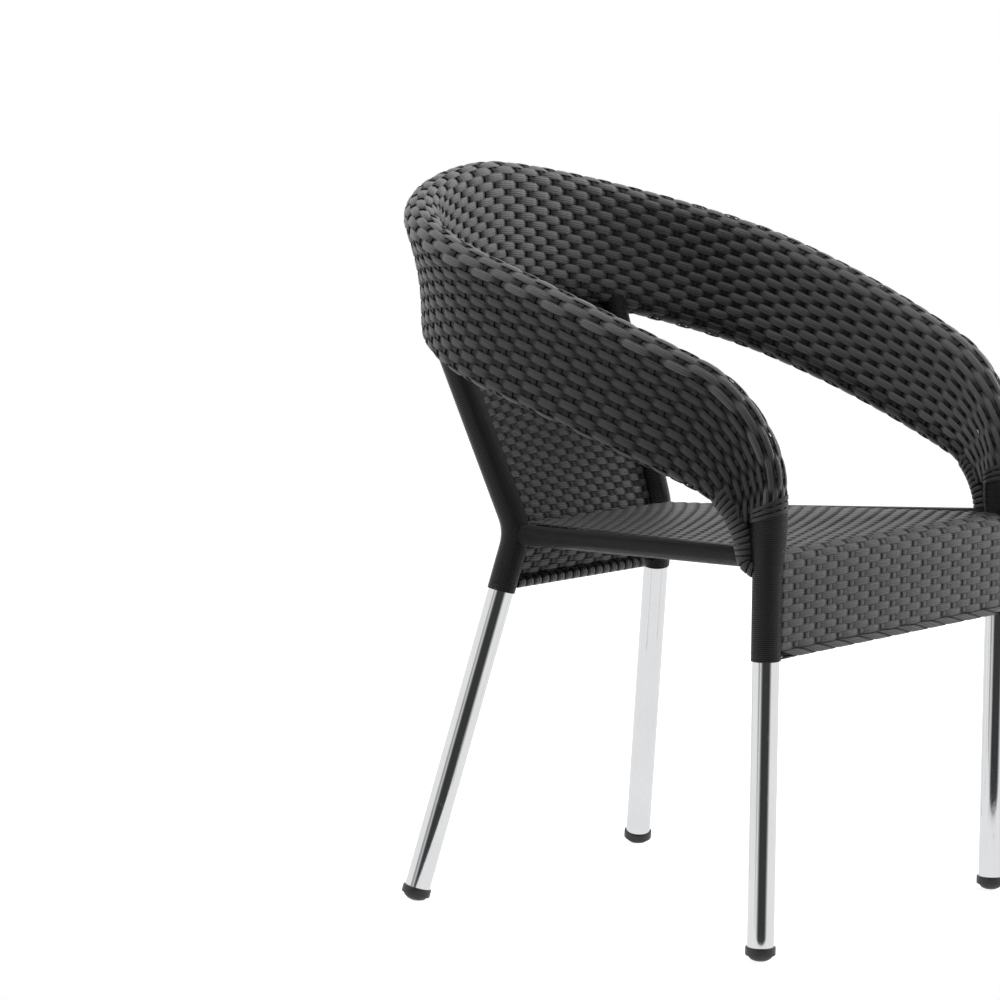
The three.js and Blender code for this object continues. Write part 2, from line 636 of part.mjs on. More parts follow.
// Apron: the same weave hanging from the front rail to its bottom rail, which is braided over
const apronHalf = legX - caneRadius - FIT;
const apronFace = point(0, -1, 0);
const apronTop = frontRailPlace.z - FIT;
const apronLow = apronRailHeight + braidRadius + FIT;
const apronPath = weftPath({ y: -rollRadius, z: apronTop }, { y: -rollRadius, z: apronLow }, apronFace);
const apronLoops = apronPath.map(({ y, z, normal, thickness }) => panelLoop(apronHalf, y, z, normal, thickness));
addPart('apron_weave', cut(loft(apronLoops), bandEnvelope), seatWeave);
const braidEnds = [-apronHalf, apronHalf].map((x) => point(x, apronRailPlace.y, apronRailHeight));
addPart('apron_bottom_braid', tube(braidEnds, braidRadius, edgeRodRadius + FIT), seatWeave);

// Back panel: between the rear legs, from its bottom rail up to the band, bent at the knee and
// bowed back at its top edge to follow the rod
const STRIP_STEPS = 14;
const stripBore = (ribRadius + FIT) / Math.cos(Math.PI / STRIP_STEPS);
const woundRadius = stripBore + STRIP_THICKNESS;
const PANEL_COLUMNS = 8;
const panelRows = [];
const bottomShare = backRailHeight / kneeHeight;
const legLine = [rearFloor.clone().lerp(kneePoint, bottomShare), ...rearStations.slice(1)];
const topRise = uprightStation.rod.z - legLine[0].z;
legLine.forEach((edge) => {
  const share = (edge.z - legLine[0].z) / topRise;
  const row = [];
  for (let column = 0; column <= PANEL_COLUMNS; column += 1) {
    const across = (column / PANEL_COLUMNS) * 2 - 1;
    const rodShare = mix(1, UPRIGHT_STATION_SHARE, Math.abs(across));
    const rodBow = armStation(rodShare).rod.y - uprightStation.rod.y;
    const bow = rodBow * share ** 2 + BACK_PANEL_HOLLOW * (1 - across ** 2) * (1 - share) * share;
    row.push(point(-edge.x * across, edge.y + bow, edge.z + share ** 2 * (armStation(rodShare).rod.z - uprightStation.rod.z)));
  }
  panelRows.push(row);
});
const halfPanel = BACK_WEAVE_THICKNESS * HALF;
const panelLoops = panelRows.map((row, i) => {
  const above = panelRows[Math.min(i + 1, panelRows.length - 1)];
  const below = panelRows[Math.max(i - 1, 0)];
  const shifted = (sign) => row.map((p, column) => {
    const upward = above[column].clone().sub(below[column]);
    const acrossward = row[Math.min(column + 1, PANEL_COLUMNS)].clone().sub(row[Math.max(column - 1, 0)]);
    const normal = new THREE.Vector3().crossVectors(upward, acrossward).normalize();
    return p.clone().addScaledVector(normal, sign * halfPanel);
  });
  return [...shifted(-1), ...shifted(1).reverse()];
});
const backCutters = [
  ...SIDES.map(([, side]) => tube(placed(rearStations, side), clearOf(caneRadius), 0)),
  bandEnvelope,
  bar(backRailPlace, mirrored(backRailPlace, 1), clearOf(woundRadius)),
];
addPart('back_weave', cut(loft(panelLoops), ...backCutters), bandWeave);

// Winding of the back panel's bottom rail: one flat strip, wound in a long helix
function woundStrip(from, to, turns) {
  const length = to.x - from.x;
  const pitch = length / (turns + 1);
  const halfStrip = (pitch - STRIP_GAP) * HALF;
  const loops = [];
  for (let step = 0; step <= turns * STRIP_STEPS; step += 1) {
    const angle = (step / STRIP_STEPS) * Math.PI * 2;
    const x = from.x + halfStrip + (step / STRIP_STEPS) * pitch;
    const ray = point(0, Math.cos(angle), Math.sin(angle));
    const corner = (radius, shift) => point(x + shift, from.y, from.z).addScaledVector(ray, radius);
    loops.push([corner(stripBore, -halfStrip), corner(stripBore, halfStrip),
      corner(woundRadius, halfStrip), corner(woundRadius, -halfStrip)]);
  }
  console.log(`least gap between the strip's turns: ${(pitch - halfStrip * 2).toFixed(2)} mm`);
  return loft(loops);
}
const backRailHalf = -backRailPlace.x - (caneRadius + FIT) / Math.cos(Math.atan2(rearDirection.x, rearDirection.z)) - FIT;
const stripEnds = [point(-backRailHalf, backRailPlace.y, backRailPlace.z), point(backRailHalf, backRailPlace.y, backRailPlace.z)];
addPart('back_rail_wrap', woundStrip(...stripEnds, BACK_RAIL_TURNS), cane);

// The origin is under the middle of the whole chair
const bounds = new THREE.Box3().setFromObject(chair);
chair.position.y = -(bounds.min.y + bounds.max.y) * HALF;

export default chair;
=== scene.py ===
# %% [markdown]
# # A woven bistro armchair
# This lesson dresses the plain solids of a stacking armchair: a bent aluminium frame with flat
# plastic strips woven and wound round most of it. The solids already have the right sizes, so
# each step here only has to make what a hand would weave over them.

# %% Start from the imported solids
import math
import bpy
import numpy as np
from mathutils import Matrix, Quaternion, Vector


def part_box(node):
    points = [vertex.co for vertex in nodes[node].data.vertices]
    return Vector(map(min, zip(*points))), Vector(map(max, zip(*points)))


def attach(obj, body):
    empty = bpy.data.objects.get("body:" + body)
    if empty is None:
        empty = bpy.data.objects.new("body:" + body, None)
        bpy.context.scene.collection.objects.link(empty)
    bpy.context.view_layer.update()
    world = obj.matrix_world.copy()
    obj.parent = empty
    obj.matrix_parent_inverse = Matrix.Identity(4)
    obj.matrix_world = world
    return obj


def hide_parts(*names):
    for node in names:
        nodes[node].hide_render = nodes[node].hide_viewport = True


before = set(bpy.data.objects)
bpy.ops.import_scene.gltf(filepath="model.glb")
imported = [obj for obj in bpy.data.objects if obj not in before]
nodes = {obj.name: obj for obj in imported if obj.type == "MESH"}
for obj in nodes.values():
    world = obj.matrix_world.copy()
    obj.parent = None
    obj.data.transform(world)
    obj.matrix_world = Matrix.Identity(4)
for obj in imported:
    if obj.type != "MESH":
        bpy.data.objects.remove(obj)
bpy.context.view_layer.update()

MM = 0.001


def put(name, data):
    """A new object in the scene."""
    placed = bpy.data.objects.new(name, data)
    bpy.context.scene.collection.objects.link(placed)
    return placed

# %% [markdown]
# ## The camera
# The photograph was taken with a long lens, from the right of the front. Its direction, lens and
# aim were worked out from the front leg, the three feet in view and the ends of the dark
# windings. The chair lies on a stack there and tips forward by about two degrees. The camera
# takes that turn here, with a small roll.

# %% Camera
AZIMUTH = math.radians(-54.03)
ELEVATION = math.radians(6.35)
ROLL = math.radians(0.68)
FOCAL_PIXELS = 4286.0
PIXELS_PER_MM = 0.982
IMAGE_PIXELS = 1000
LENS_REACH = 50
LEG_X, FRONT_WRAP_END = -238.0, 310.0
cap_low, cap_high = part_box("foot_cap_front_right")
LEG_AXIS_Y = cap_low.lerp(cap_high, 0.5).y
# The lower end of the front leg's winding, and where the photograph shows it
LEG_AIM = Vector((LEG_X * MM, LEG_AXIS_Y, FRONT_WRAP_END * MM))
LEG_PIXEL = (765.8, 661.7)

back = Vector((math.sin(AZIMUTH) * math.cos(ELEVATION),
               -math.cos(AZIMUTH) * math.cos(ELEVATION),
               math.sin(ELEVATION)))
level = Vector((0, 0, 1)).cross(back).normalized()
across = level * math.cos(ROLL) + back.cross(level) * math.sin(ROLL)
upward = back.cross(across)
depth = FOCAL_PIXELS / PIXELS_PER_MM * MM
from_middle = [(pixel - IMAGE_PIXELS / 2) / FOCAL_PIXELS * depth for pixel in LEG_PIXEL]
offset = across * from_middle[0] - upward * from_middle[1]

lens = bpy.data.cameras.new("photo_lens")
lens.sensor_width = 36.0
lens.sensor_fit = "HORIZONTAL"
lens.lens = FOCAL_PIXELS / IMAGE_PIXELS * lens.sensor_width
lens.clip_end = LENS_REACH
camera = put("photo_camera", lens)
camera.location = LEG_AIM + back * depth - offset
camera.rotation_mode = "QUATERNION"
camera.rotation_quaternion = Matrix((across, upward, back)).transposed().to_quaternion()
bpy.context.scene.camera = camera
print("camera at", tuple(round(c, 3) for c in camera.location), "lens", round(lens.lens, 1), "mm")

# %% [markdown]
# ## The forms that the weaving follows
# Each woven area first gets a smooth form: a grid of points whose rows run round it and whose
# columns run along it. The form keeps both directions as a UV map, so that a strip can be drawn
# flat and then laid on it. It is a tool, not a piece of the chair, and it is removed at the end.

# %% Build a form from loops of points
def make_form(name, loops, closed, crowding=None):
    """A grid through the loops. u runs along the loops' centres and v runs round each loop.
    Where crowding is above 1, u runs faster, so that strips across it lie closer together."""
    grid = np.array(loops, float)
    spare = 1 if closed else 0
    if closed:
        grid = np.concatenate([grid[:, -1:], grid, grid[:, :2]], axis=1)
    rows, columns = grid.shape[:2]
    steps = np.linalg.norm(np.diff(grid, axis=1), axis=2)
    round_way = np.concatenate([np.zeros((rows, 1)), np.cumsum(steps, axis=1)], axis=1)
    first = round_way[:, spare:spare + 1]
    last = round_way[:, columns - 1 - spare:columns - spare]
    v = (round_way - first) / (last - first)
    centres = grid[:, spare:columns - spare].mean(axis=1)
    stretch = np.ones(rows - 1) if crowding is None else (crowding[1:] + crowding[:-1]) / 2
    along = np.concatenate([[0], np.cumsum(np.linalg.norm(np.diff(centres, axis=0), axis=1) * stretch)])
    u = along / along[-1]
    index = np.arange(rows * columns).reshape(rows, columns)
    faces = np.stack([index[:-1, :-1], index[:-1, 1:], index[1:, 1:], index[1:, :-1]], axis=-1).reshape(-1, 4)
    mesh = bpy.data.meshes.new(name)
    mesh.from_pydata((grid.reshape(-1, 3) * MM).tolist(), [], faces.tolist())
    layer = mesh.uv_layers.new(name="form_uv")
    corners = np.array([loop.vertex_index for loop in mesh.loops])
    flat = np.stack([np.repeat(u, columns), v.reshape(-1)], axis=1)
    layer.data.foreach_set("uv", flat[corners].astype(np.float32).reshape(-1))
    mesh.polygons.foreach_set("use_smooth", [True] * len(mesh.polygons))
    form = put(name, mesh)
    girth = float((last - first).mean())
    print(f"{name}: {rows} by {columns} points, {along[-1]:.0f} mm long, {girth:.0f} mm round")
    return form, float(along[-1]), girth

# %% [markdown]
# ## The band's route
# The arms and the back are one hollow woven band between two bent members: the rim tube above and
# a thinner rod below. Their plan is the same walk that the solids were made from: each arm eases
# outward from its front leg, then turns a rounded corner to the middle of the back.

# %% Sizes of the band, in millimetres
LEG_Y = LEG_AXIS_Y / MM
HOOP_HALF_WIDTH, HOOP_DEPTH, CORNER_DEPTH = 292.0, 530.0, 210.0
ARM_HEIGHT, BACK_HEIGHT, RISE_SHARE = 562.0, 780.0, 1.55
ROD_DROP_AT_ARM, ROD_DROP_AT_BACK, ROD_TUCK = 100.0, 117.0, 16.0
RIM_BEND, ROD_BEND = 78.0, 50.0
RIM_RADIUS, ROD_RADIUS = 17.6, 11.0
TUBE_RADIUS, ROD_TUBE_RADIUS = 14.0, 8.0
NECK_HEIGHT = 392.0
ARM_LENGTH = HOOP_DEPTH - CORNER_DEPTH
WALK_POINTS = 241

walk_share = np.linspace(0, 1, WALK_POINTS)
arm_half_width = HOOP_HALF_WIDTH + (-LEG_X - HOOP_HALF_WIDTH) * (1 - walk_share) ** 2
arm_walk = np.stack([-arm_half_width, walk_share * ARM_LENGTH], axis=1)
turn = walk_share[1:] * math.pi / 2
corner_walk = np.stack([-HOOP_HALF_WIDTH * np.cos(turn), ARM_LENGTH + CORNER_DEPTH * np.sin(turn)], axis=1)
plan = np.concatenate([arm_walk, corner_walk])
plan_distance = np.concatenate([[0], np.cumsum(np.linalg.norm(np.diff(plan, axis=0), axis=1))])
plan_length = plan_distance[-1]
print("half plan:", round(plan_length), "mm")


def spot_on(points, distances, wanted):
    """Where a route is at the wanted distances."""
    return np.stack([np.interp(wanted, distances, column) for column in points.T], axis=-1)


def plan_at(distance):
    """The place at a distance along the plan, and the outward direction there."""
    near = np.clip(distance, 1, plan_length - 1)
    step = np.subtract(*spot_on(plan, plan_distance, [near + 1, near - 1]))
    along = step / np.linalg.norm(step)
    if distance > plan_length - 1:
        along = np.array([1.0, 0.0])
    return spot_on(plan, plan_distance, distance), np.array([-along[1], along[0]])


def rise_at(distance):
    """0 at the front of the arm and 1 at the middle of the back."""
    return 1 - (1 - min(distance / plan_length, 1)) ** RISE_SHARE


def rim_height_at(distance):
    return ARM_HEIGHT + (BACK_HEIGHT - ARM_HEIGHT) * rise_at(distance)


def rod_drop_at(distance):
    return ROD_DROP_AT_ARM + (ROD_DROP_AT_BACK - ROD_DROP_AT_ARM) * rise_at(distance)

# %% Points on the rim and on the rod
SLOPE_STEP = 0.3


def rim_point(distance, drop=0.0):
    place, _ = plan_at(distance)
    return np.array([place[0], place[1], rim_height_at(distance) - RIM_BEND * drop])


def rod_point(distance, drop=0.0):
    place, out = plan_at(distance)
    place = place - out * ROD_TUCK * rise_at(distance)
    height = rim_height_at(distance) - rod_drop_at(distance) - ROD_BEND * drop
    return np.array([place[0], place[1], height])


def rod_distance_below(distance):
    """How far along its route the rod is where it lies square below a spot of the rim."""
    slope = (rim_height_at(min(distance + SLOPE_STEP, plan_length)) - rim_height_at(distance)) / SLOPE_STEP
    return min(distance + rod_drop_at(distance) * slope / (1 + slope ** 2), plan_length)


FIT_GAP = 0.3
ROD_START = TUBE_RADIUS + ROD_TUBE_RADIUS + FIT_GAP
rim_rise = rim_point(0, 1)[2] - rod_point(ROD_START, 1)[2]
rim_fan = rim_rise + RIM_BEND * math.pi / 2
rod_fan = ROD_BEND * math.pi / 2 + rod_distance_below(RIM_BEND) - ROD_START - ROD_BEND


def fan_station(share):
    """Rim and rod in the front bend, from the foot of the band to the start of the arm."""
    rim_travel = share * rim_fan - rim_rise
    rim_turn = max(rim_travel, 0) / RIM_BEND
    rim = rim_point(RIM_BEND * (1 - math.cos(rim_turn)), 1 - math.sin(rim_turn))
    rim[2] += min(rim_travel, 0)
    rod_turn = min(share * rod_fan / ROD_BEND, math.pi / 2)
    beyond = share * rod_fan - ROD_BEND * rod_turn
    rod = rod_point(ROD_START + ROD_BEND * (1 - math.cos(rod_turn)) + beyond, 1 - math.sin(rod_turn))
    return rim, rod


def arm_station(share):
    """Rim and rod from the start of the arm to the middle of the back."""
    distance = RIM_BEND + (plan_length - RIM_BEND) * share
    low = rod_distance_below(distance) if share < 1 else plan_length
    return rim_point(distance), rod_point(low)

# %% [markdown]
# ## The band's section
# Cut across, the band is a roll round the rim tube, a slightly hollow outer side, a nearly flat
# inner side, and a smaller roll round the rod. In the front bend the sections open like a fan,
# and at the foot they close round the leg.

# %% Loops round the band
FAN_LOOPS, ARM_LOOPS = 44, 120
RIM_ARC, ROD_ARC, SIDE_POINTS = 20, 14, 12
OUTER_WAIST, INNER_WAIST = 5.0, 2.0

neck_ends = (rim_point(0, 1), rod_point(ROD_START, 1))
half = [tuple(point * [1, 1, 0] + [0, 0, NECK_HEIGHT] for point in neck_ends)]
half += [fan_station(i / FAN_LOOPS) for i in range(FAN_LOOPS)]
half += [arm_station(i / ARM_LOOPS) for i in range(ARM_LOOPS + 1)]
mirror = np.array([-1, 1, 1])
stations = half + [(rim * mirror, rod * mirror) for rim, rod in reversed(half[:-1])]
rims = np.array([s[0] for s in stations])
rods = np.array([s[1] for s in stations])
rims[:, 1] += LEG_Y
rods[:, 1] += LEG_Y


def tangents(points):
    ahead = np.diff(points, axis=0)
    ahead /= np.linalg.norm(ahead, axis=1)[:, None]
    both = np.concatenate([ahead[:1], ahead[:-1] + ahead[1:], ahead[-1:]])
    return both / np.linalg.norm(both, axis=1)[:, None]


rim_along, rod_along = tangents(rims), tangents(rods)


def unit(vector):
    return vector / np.linalg.norm(vector)


def smooth_share(value, low, high):
    share = np.clip((value - low) / (high - low), 0, 1)
    return share * share * (3 - 2 * share)


def band_loop(i):
    """One closed loop round the band at station i: rim, inner side, rod, outer side."""
    rim, rod = rims[i], rods[i]
    between = rod - rim
    waist = smooth_share(np.linalg.norm(between), ROD_START, ROD_DROP_AT_ARM * 0.5)
    axes = []
    for along in (rim_along[i], rod_along[i]):
        down = unit(between - along * between.dot(along))
        axes.append((down, np.cross(along, down)))

    def around(centre, pair, radius, angle):
        return centre - pair[0] * math.sin(angle) * radius + pair[1] * math.cos(angle) * radius

    def side(share, angle, depth_mm):
        top = around(rim, axes[0], RIM_RADIUS, angle)
        low = around(rod, axes[1], ROD_RADIUS, angle)
        hollow = depth_mm * waist * math.sin(share * math.pi) * math.cos(angle)
        return top + (low - top) * share - axes[0][1] * hollow

    loop = [around(rim, axes[0], RIM_RADIUS, math.pi * k / RIM_ARC) for k in range(RIM_ARC + 1)]
    loop += [side(k / SIDE_POINTS, math.pi, INNER_WAIST) for k in range(1, SIDE_POINTS)]
    loop += [around(rod, axes[1], ROD_RADIUS, math.pi * (1 + k / ROD_ARC)) for k in range(ROD_ARC + 1)]
    loop += [side(k / SIDE_POINTS, 0, OUTER_WAIST) for k in range(SIDE_POINTS - 1, 0, -1)]
    return loop


# The strips across the band lie closer together toward the back
FIRST_LOOP, BACK_CROWDING = 10, 1.3
CROWDING_STARTS, CROWDING_FULL = LEG_Y + 180, LEG_Y + 400
used = range(FIRST_LOOP, len(stations) - FIRST_LOOP)
band_loops = [band_loop(i) for i in used]
crowding = 1 + (BACK_CROWDING - 1) * smooth_share(rims[used, 1], CROWDING_STARTS, CROWDING_FULL)
band_form, band_length, band_girth = make_form("band_form", band_loops, True, crowding)

# %% [markdown]
# ## Weaving with Geometry Nodes
# A plain weave is two families of flat strips that pass over and under each other, and one tree
# makes one family. It draws every strip flat, as a grid bent into a thin closed section, and lets
# it wave up and down over the strips that it crosses. Then Sample UV Surface looks up where each
# spot of the flat drawing lies on the form. The wave goes along the form's normal.

# %% A small helper that adds and joins nodes
class Nodes:
    """Adds nodes to a tree and joins them, with maths written as short calls."""

    def __init__(self, group):
        self.group = group

    def add(self, kind, *values, **settings):
        node = self.group.nodes.new(kind)
        for key, value in settings.items():
            setattr(node, key, value)
        open_sockets = [s for s in node.inputs if s.enabled]
        for socket, value in zip(open_sockets, values):
            if value is None:
                continue
            if isinstance(value, bpy.types.NodeSocket):
                self.group.links.new(value, socket)
            else:
                socket.default_value = value
        return [s for s in node.outputs if s.enabled]

    def math(self, operation, *values):
        return self.add("ShaderNodeMath", *values, operation=operation)[0]

    def times(self, *values):
        return self.math("MULTIPLY", *values)

    def plus(self, *values):
        return self.math("ADD", *values)

    def minus(self, *values):
        return self.math("SUBTRACT", *values)


class Tree(Nodes):
    """A Geometry Nodes tree with named inputs."""

    def __init__(self, name):
        super().__init__(bpy.data.node_groups.new(name, "GeometryNodeTree"))
        self.group.interface.new_socket("Geometry", in_out="INPUT", socket_type="NodeSocketGeometry")
        self.group.interface.new_socket("Geometry", in_out="OUTPUT", socket_type="NodeSocketGeometry")
        self.start = self.group.nodes.new("NodeGroupInput")
        self.end = self.group.nodes.new("NodeGroupOutput")

    def input(self, name, default=None):
        kind = {int: "Int", float: "Float"}.get(type(default), "Material")
        socket = self.group.interface.new_socket(name, in_out="INPUT", socket_type=f"NodeSocket{kind}")
        if default is not None:
            socket.default_value = default
        return self.start.outputs[name]

    def named(self, name, data_type="FLOAT"):
        return self.add("GeometryNodeInputNamedAttribute", name, data_type=data_type)[0]

    def store(self, geometry, name, value, domain="POINT", data_type="FLOAT"):
        return self.add("GeometryNodeStoreNamedAttribute", geometry, None, name, value,
                        domain=domain, data_type=data_type)[0]

# %% What the weaving and the winding tree share
PROFILE_SIDES, WINDING_SIDES = 8, 6
FORM_MARGIN = 1e-5
MERGE_DISTANCE = 0.02 * MM
END_SHARPNESS = 1e6


def flat_strip(tree, points, sides):
    """A flat grid: s runs along it, t runs round its section, and the drawing stays as a UV map."""
    grid = tree.add("GeometryNodeMeshGrid", 1.0, 1.0, points, sides + 1)
    strip = tree.store(grid[0], "drawn", grid[1], "CORNER", "FLOAT2")
    x, y, _ = tree.add("ShaderNodeSeparateXYZ", tree.add("GeometryNodeInputPosition")[0])
    strip = tree.store(strip, "s", tree.plus(x, 0.5))
    return tree.store(strip, "t", tree.plus(y, 0.5))


def from_ends(tree, s):
    """0 at both ends of a strip and far above 1 everywhere else."""
    return tree.times(tree.math("MINIMUM", s, tree.minus(1.0, s)), END_SHARPNESS)


def squarer(tree, wave):
    """Turns a circle's sine or cosine into the squarer outline of a flat strip."""
    root = tree.math("POWER", tree.math("ABSOLUTE", wave), 0.5)
    return tree.times(root, tree.math("SIGN", wave))


def section(tree, pitch, width, thickness, closing):
    """The flat section of a strip: its angle, place across from -1 to 1, width and height."""
    angle = tree.times(tree.named("t"), math.tau)
    across = squarer(tree, tree.math("COSINE", angle))
    half_width = tree.times(tree.times(pitch, width), 0.5)
    sideways = tree.times(tree.times(across, half_width), closing)
    half_thick = tree.times(tree.times(thickness, 0.5), closing)
    height = tree.times(squarer(tree, tree.math("SINE", angle)), half_thick)
    return angle, across, sideways, height


def finish_strip(tree, strip, spot_u, spot_v, height, material):
    """Looks up each point of the flat drawing on the form, lifts it along the normal and closes up."""
    inside = [tree.math("MINIMUM", tree.math("MAXIMUM", c, FORM_MARGIN), 1 - FORM_MARGIN)
              for c in (spot_u, spot_v)]
    uv = tree.add("ShaderNodeCombineXYZ", *inside)[0]
    form_uv = tree.named("form_uv", "FLOAT_VECTOR")
    surface = tree.start.outputs["Geometry"]
    place, normal = [
        tree.add("GeometryNodeSampleUVSurface", surface, tree.add(field)[0], form_uv, uv,
                 data_type="FLOAT_VECTOR")[0]
        for field in ("GeometryNodeInputPosition", "GeometryNodeInputNormal")]
    normal = tree.add("ShaderNodeVectorMath", normal, operation="NORMALIZE")[0]
    lifted = tree.add("ShaderNodeVectorMath", normal, height, operation="SCALE")[0]
    target = tree.add("ShaderNodeVectorMath", place, lifted, operation="ADD")[0]
    strip = tree.add("GeometryNodeSetPosition", strip, None, target)[0]
    strip = tree.add("GeometryNodeMergeByDistance", strip, None, MERGE_DISTANCE)[0]
    strip = tree.add("GeometryNodeSetShadeSmooth", strip, None, True)[0]
    strip = tree.add("GeometryNodeSetMaterial", strip, None, material)[0]
    tree.group.links.new(strip, tree.end.inputs["Geometry"])

# %% The weaving tree
def weaving_tree(name, along_u):
    """Strips side by side on a form. along_u says which way of the form they run."""
    tree = Tree(name)
    strips = tree.input("Strips", 40)
    first = tree.input("First Strip", 0)
    all_strips = tree.input("All Strips", 40)
    crossings = tree.input("Crossings", 80)
    steps = tree.input("Steps Per Crossing", 5)
    width = tree.input("Width Share", 1.17)
    thickness = tree.input("Thickness", 0.0015)
    lift = tree.input("Lift", 0.001)
    flatness = tree.input("Flatness", 0.8)
    unshaded = tree.input("Showing", 1.0)
    start_over = tree.input("Starts Over", 0)
    ring = tree.input("Closed Ring", 0.0)
    seed = tree.input("Seed", 1)
    material = tree.input("Material")

    points = tree.plus(tree.times(crossings, steps), 1)
    strip = flat_strip(tree, points, PROFILE_SIDES)

    # Copies of it, numbered and tinted, become one mesh
    row_points = tree.add("GeometryNodeMeshLine", strips, None, (0, 0, 0), (0, 0, 0), mode="OFFSET")
    copies = tree.add("GeometryNodeInstanceOnPoints", row_points[0], None, strip)[0]
    index = tree.add("GeometryNodeInputIndex")[0]
    number = tree.plus(index, first)
    copies = tree.store(copies, "number", number, "INSTANCE")
    tint = tree.add("FunctionNodeRandomValue", data_type="FLOAT")[0]
    sockets = {socket.name: socket for socket in tint.node.inputs if socket.enabled}
    tree.group.links.new(index, sockets["ID"])
    tree.group.links.new(seed, sockets["Seed"])
    copies = tree.store(copies, "tint", tint, "INSTANCE")
    sheet = tree.add("GeometryNodeRealizeInstances", copies)[0]

    # The section, in shares of the form and in metres of height. Open strips end in a point
    s, number = tree.named("s"), tree.named("number")
    pitch = tree.math("DIVIDE", 1.0, all_strips)
    closing = tree.math("MINIMUM", tree.plus(from_ends(tree, s), ring), 1.0)
    _, across, sideways, height = section(tree, pitch, width, thickness, closing)

    # The wave: over one crossing strip, under the next, with flat tops
    phase = tree.times(tree.minus(tree.times(s, crossings), 0.5), math.pi)
    parity = tree.times(tree.plus(number, start_over), math.pi)
    wave = tree.math("COSINE", tree.plus(phase, parity))
    bend = tree.minus(1.0, tree.times(wave, wave))
    flatter = tree.plus(1.0, tree.times(bend, flatness))
    rise = tree.times(tree.times(wave, flatter), lift)
    height = tree.plus(height, rise)
    sheet = tree.store(sheet, "across", across)
    # Below 1, Unshaded lowers the crest, so the strip is painted darker: painted shade for strips that lie
    # low between their neighbours
    crest = tree.minus(tree.times(wave, unshaded), tree.minus(1.0, unshaded))
    sheet = tree.store(sheet, "crest", crest)

    # Laid on the form
    middle = tree.times(tree.plus(number, 0.5), pitch)
    beside = tree.plus(middle, sideways)
    spot = (s, beside) if along_u else (beside, s)
    finish_strip(tree, sheet, spot[0], spot[1], height, material)
    return tree.group

# %% Run a tree over a form and keep the result as a plain mesh
def worked_on(form, tree, name, **inputs):
    """A new piece on root: the tree's result on the form, with the tree's inputs set by name."""
    modifier = form.modifiers.new("work", "NODES")
    modifier.node_group = tree
    identifiers = {item.name: item.identifier for item in tree.interface.items_tree if item.in_out == "INPUT"}
    for key, value in inputs.items():
        modifier[identifiers[key.replace("_", " ")]] = value
    graph = bpy.context.evaluated_depsgraph_get()
    graph.update()
    mesh = bpy.data.meshes.new_from_object(form.evaluated_get(graph))
    form.modifiers.remove(modifier)
    mesh.name = name
    mesh.calc_loop_triangles()
    print(f"{name}: {len(mesh.loop_triangles)} triangles")
    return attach(put(name, mesh), "root")


weave_along = weaving_tree("weave_along", True)
weave_round = weaving_tree("weave_round", False)

# %% [markdown]
# ## What the strips are made of
# The strips are extruded charcoal plastic with a satin sheen and fine grooves along them. The
# material reads the attributes that the trees leave on each strip: across runs from one edge to
# the other, crest says how far up in the weave a spot lies, and tint is one number for each
# strip. A low crest is painted darker, as painted shade where a strip lies low in the weave, and a
# high crest lighter, as a painted highlight. Slow blotches and fine grain come from noise on the
# object's own coordinates.

# %% A helper that writes a finish around its shader
class Finish(Nodes):
    """A material. Its colour, roughness and bump are joined to one Principled shader."""

    def __init__(self, name, metallic=0.0):
        self.material = bpy.data.materials.new(name)
        self.material.use_nodes = True
        super().__init__(self.material.node_tree)
        self.shader = self.group.nodes["Principled BSDF"]
        self.shader.inputs["Metallic"].default_value = metallic
        self.place = self.add("ShaderNodeTexCoord")[0].node.outputs["Object"]

    def join(self, socket, value):
        self.group.links.new(value, self.shader.inputs[socket])

    def attribute(self, name):
        return self.add("ShaderNodeAttribute", attribute_name=name)[0].node.outputs["Fac"]

    def noise(self, scale, detail=2.0, stretch=(1, 1, 1)):
        spot = self.add("ShaderNodeMapping", self.place, None, None, stretch)[0]
        return self.add("ShaderNodeTexNoise", spot, scale, detail)[0].node.outputs[0]

    def spread(self, value, low, high, to_low=0.0, to_high=1.0):
        return self.add("ShaderNodeMapRange", value, low, high, to_low, to_high)[0]

    def total(self, *terms):
        """The sum of (value, weight) pairs."""
        result = 0.0
        for value, weight in terms:
            result = self.plus(self.times(value, weight), result)
        return result

    def colour(self, share, dark, light):
        mix = self.add("ShaderNodeMix", share, (*dark, 1), (*light, 1), data_type="RGBA")[0]
        self.join("Base Color", mix)

    def bump(self, height, distance_mm, strength=1.0):
        node = self.group.nodes.new("ShaderNodeBump")
        node.inputs["Strength"].default_value = strength
        node.inputs["Distance"].default_value = distance_mm * MM
        self.group.links.new(height, node.inputs["Height"])
        self.join("Normal", node.outputs["Normal"])

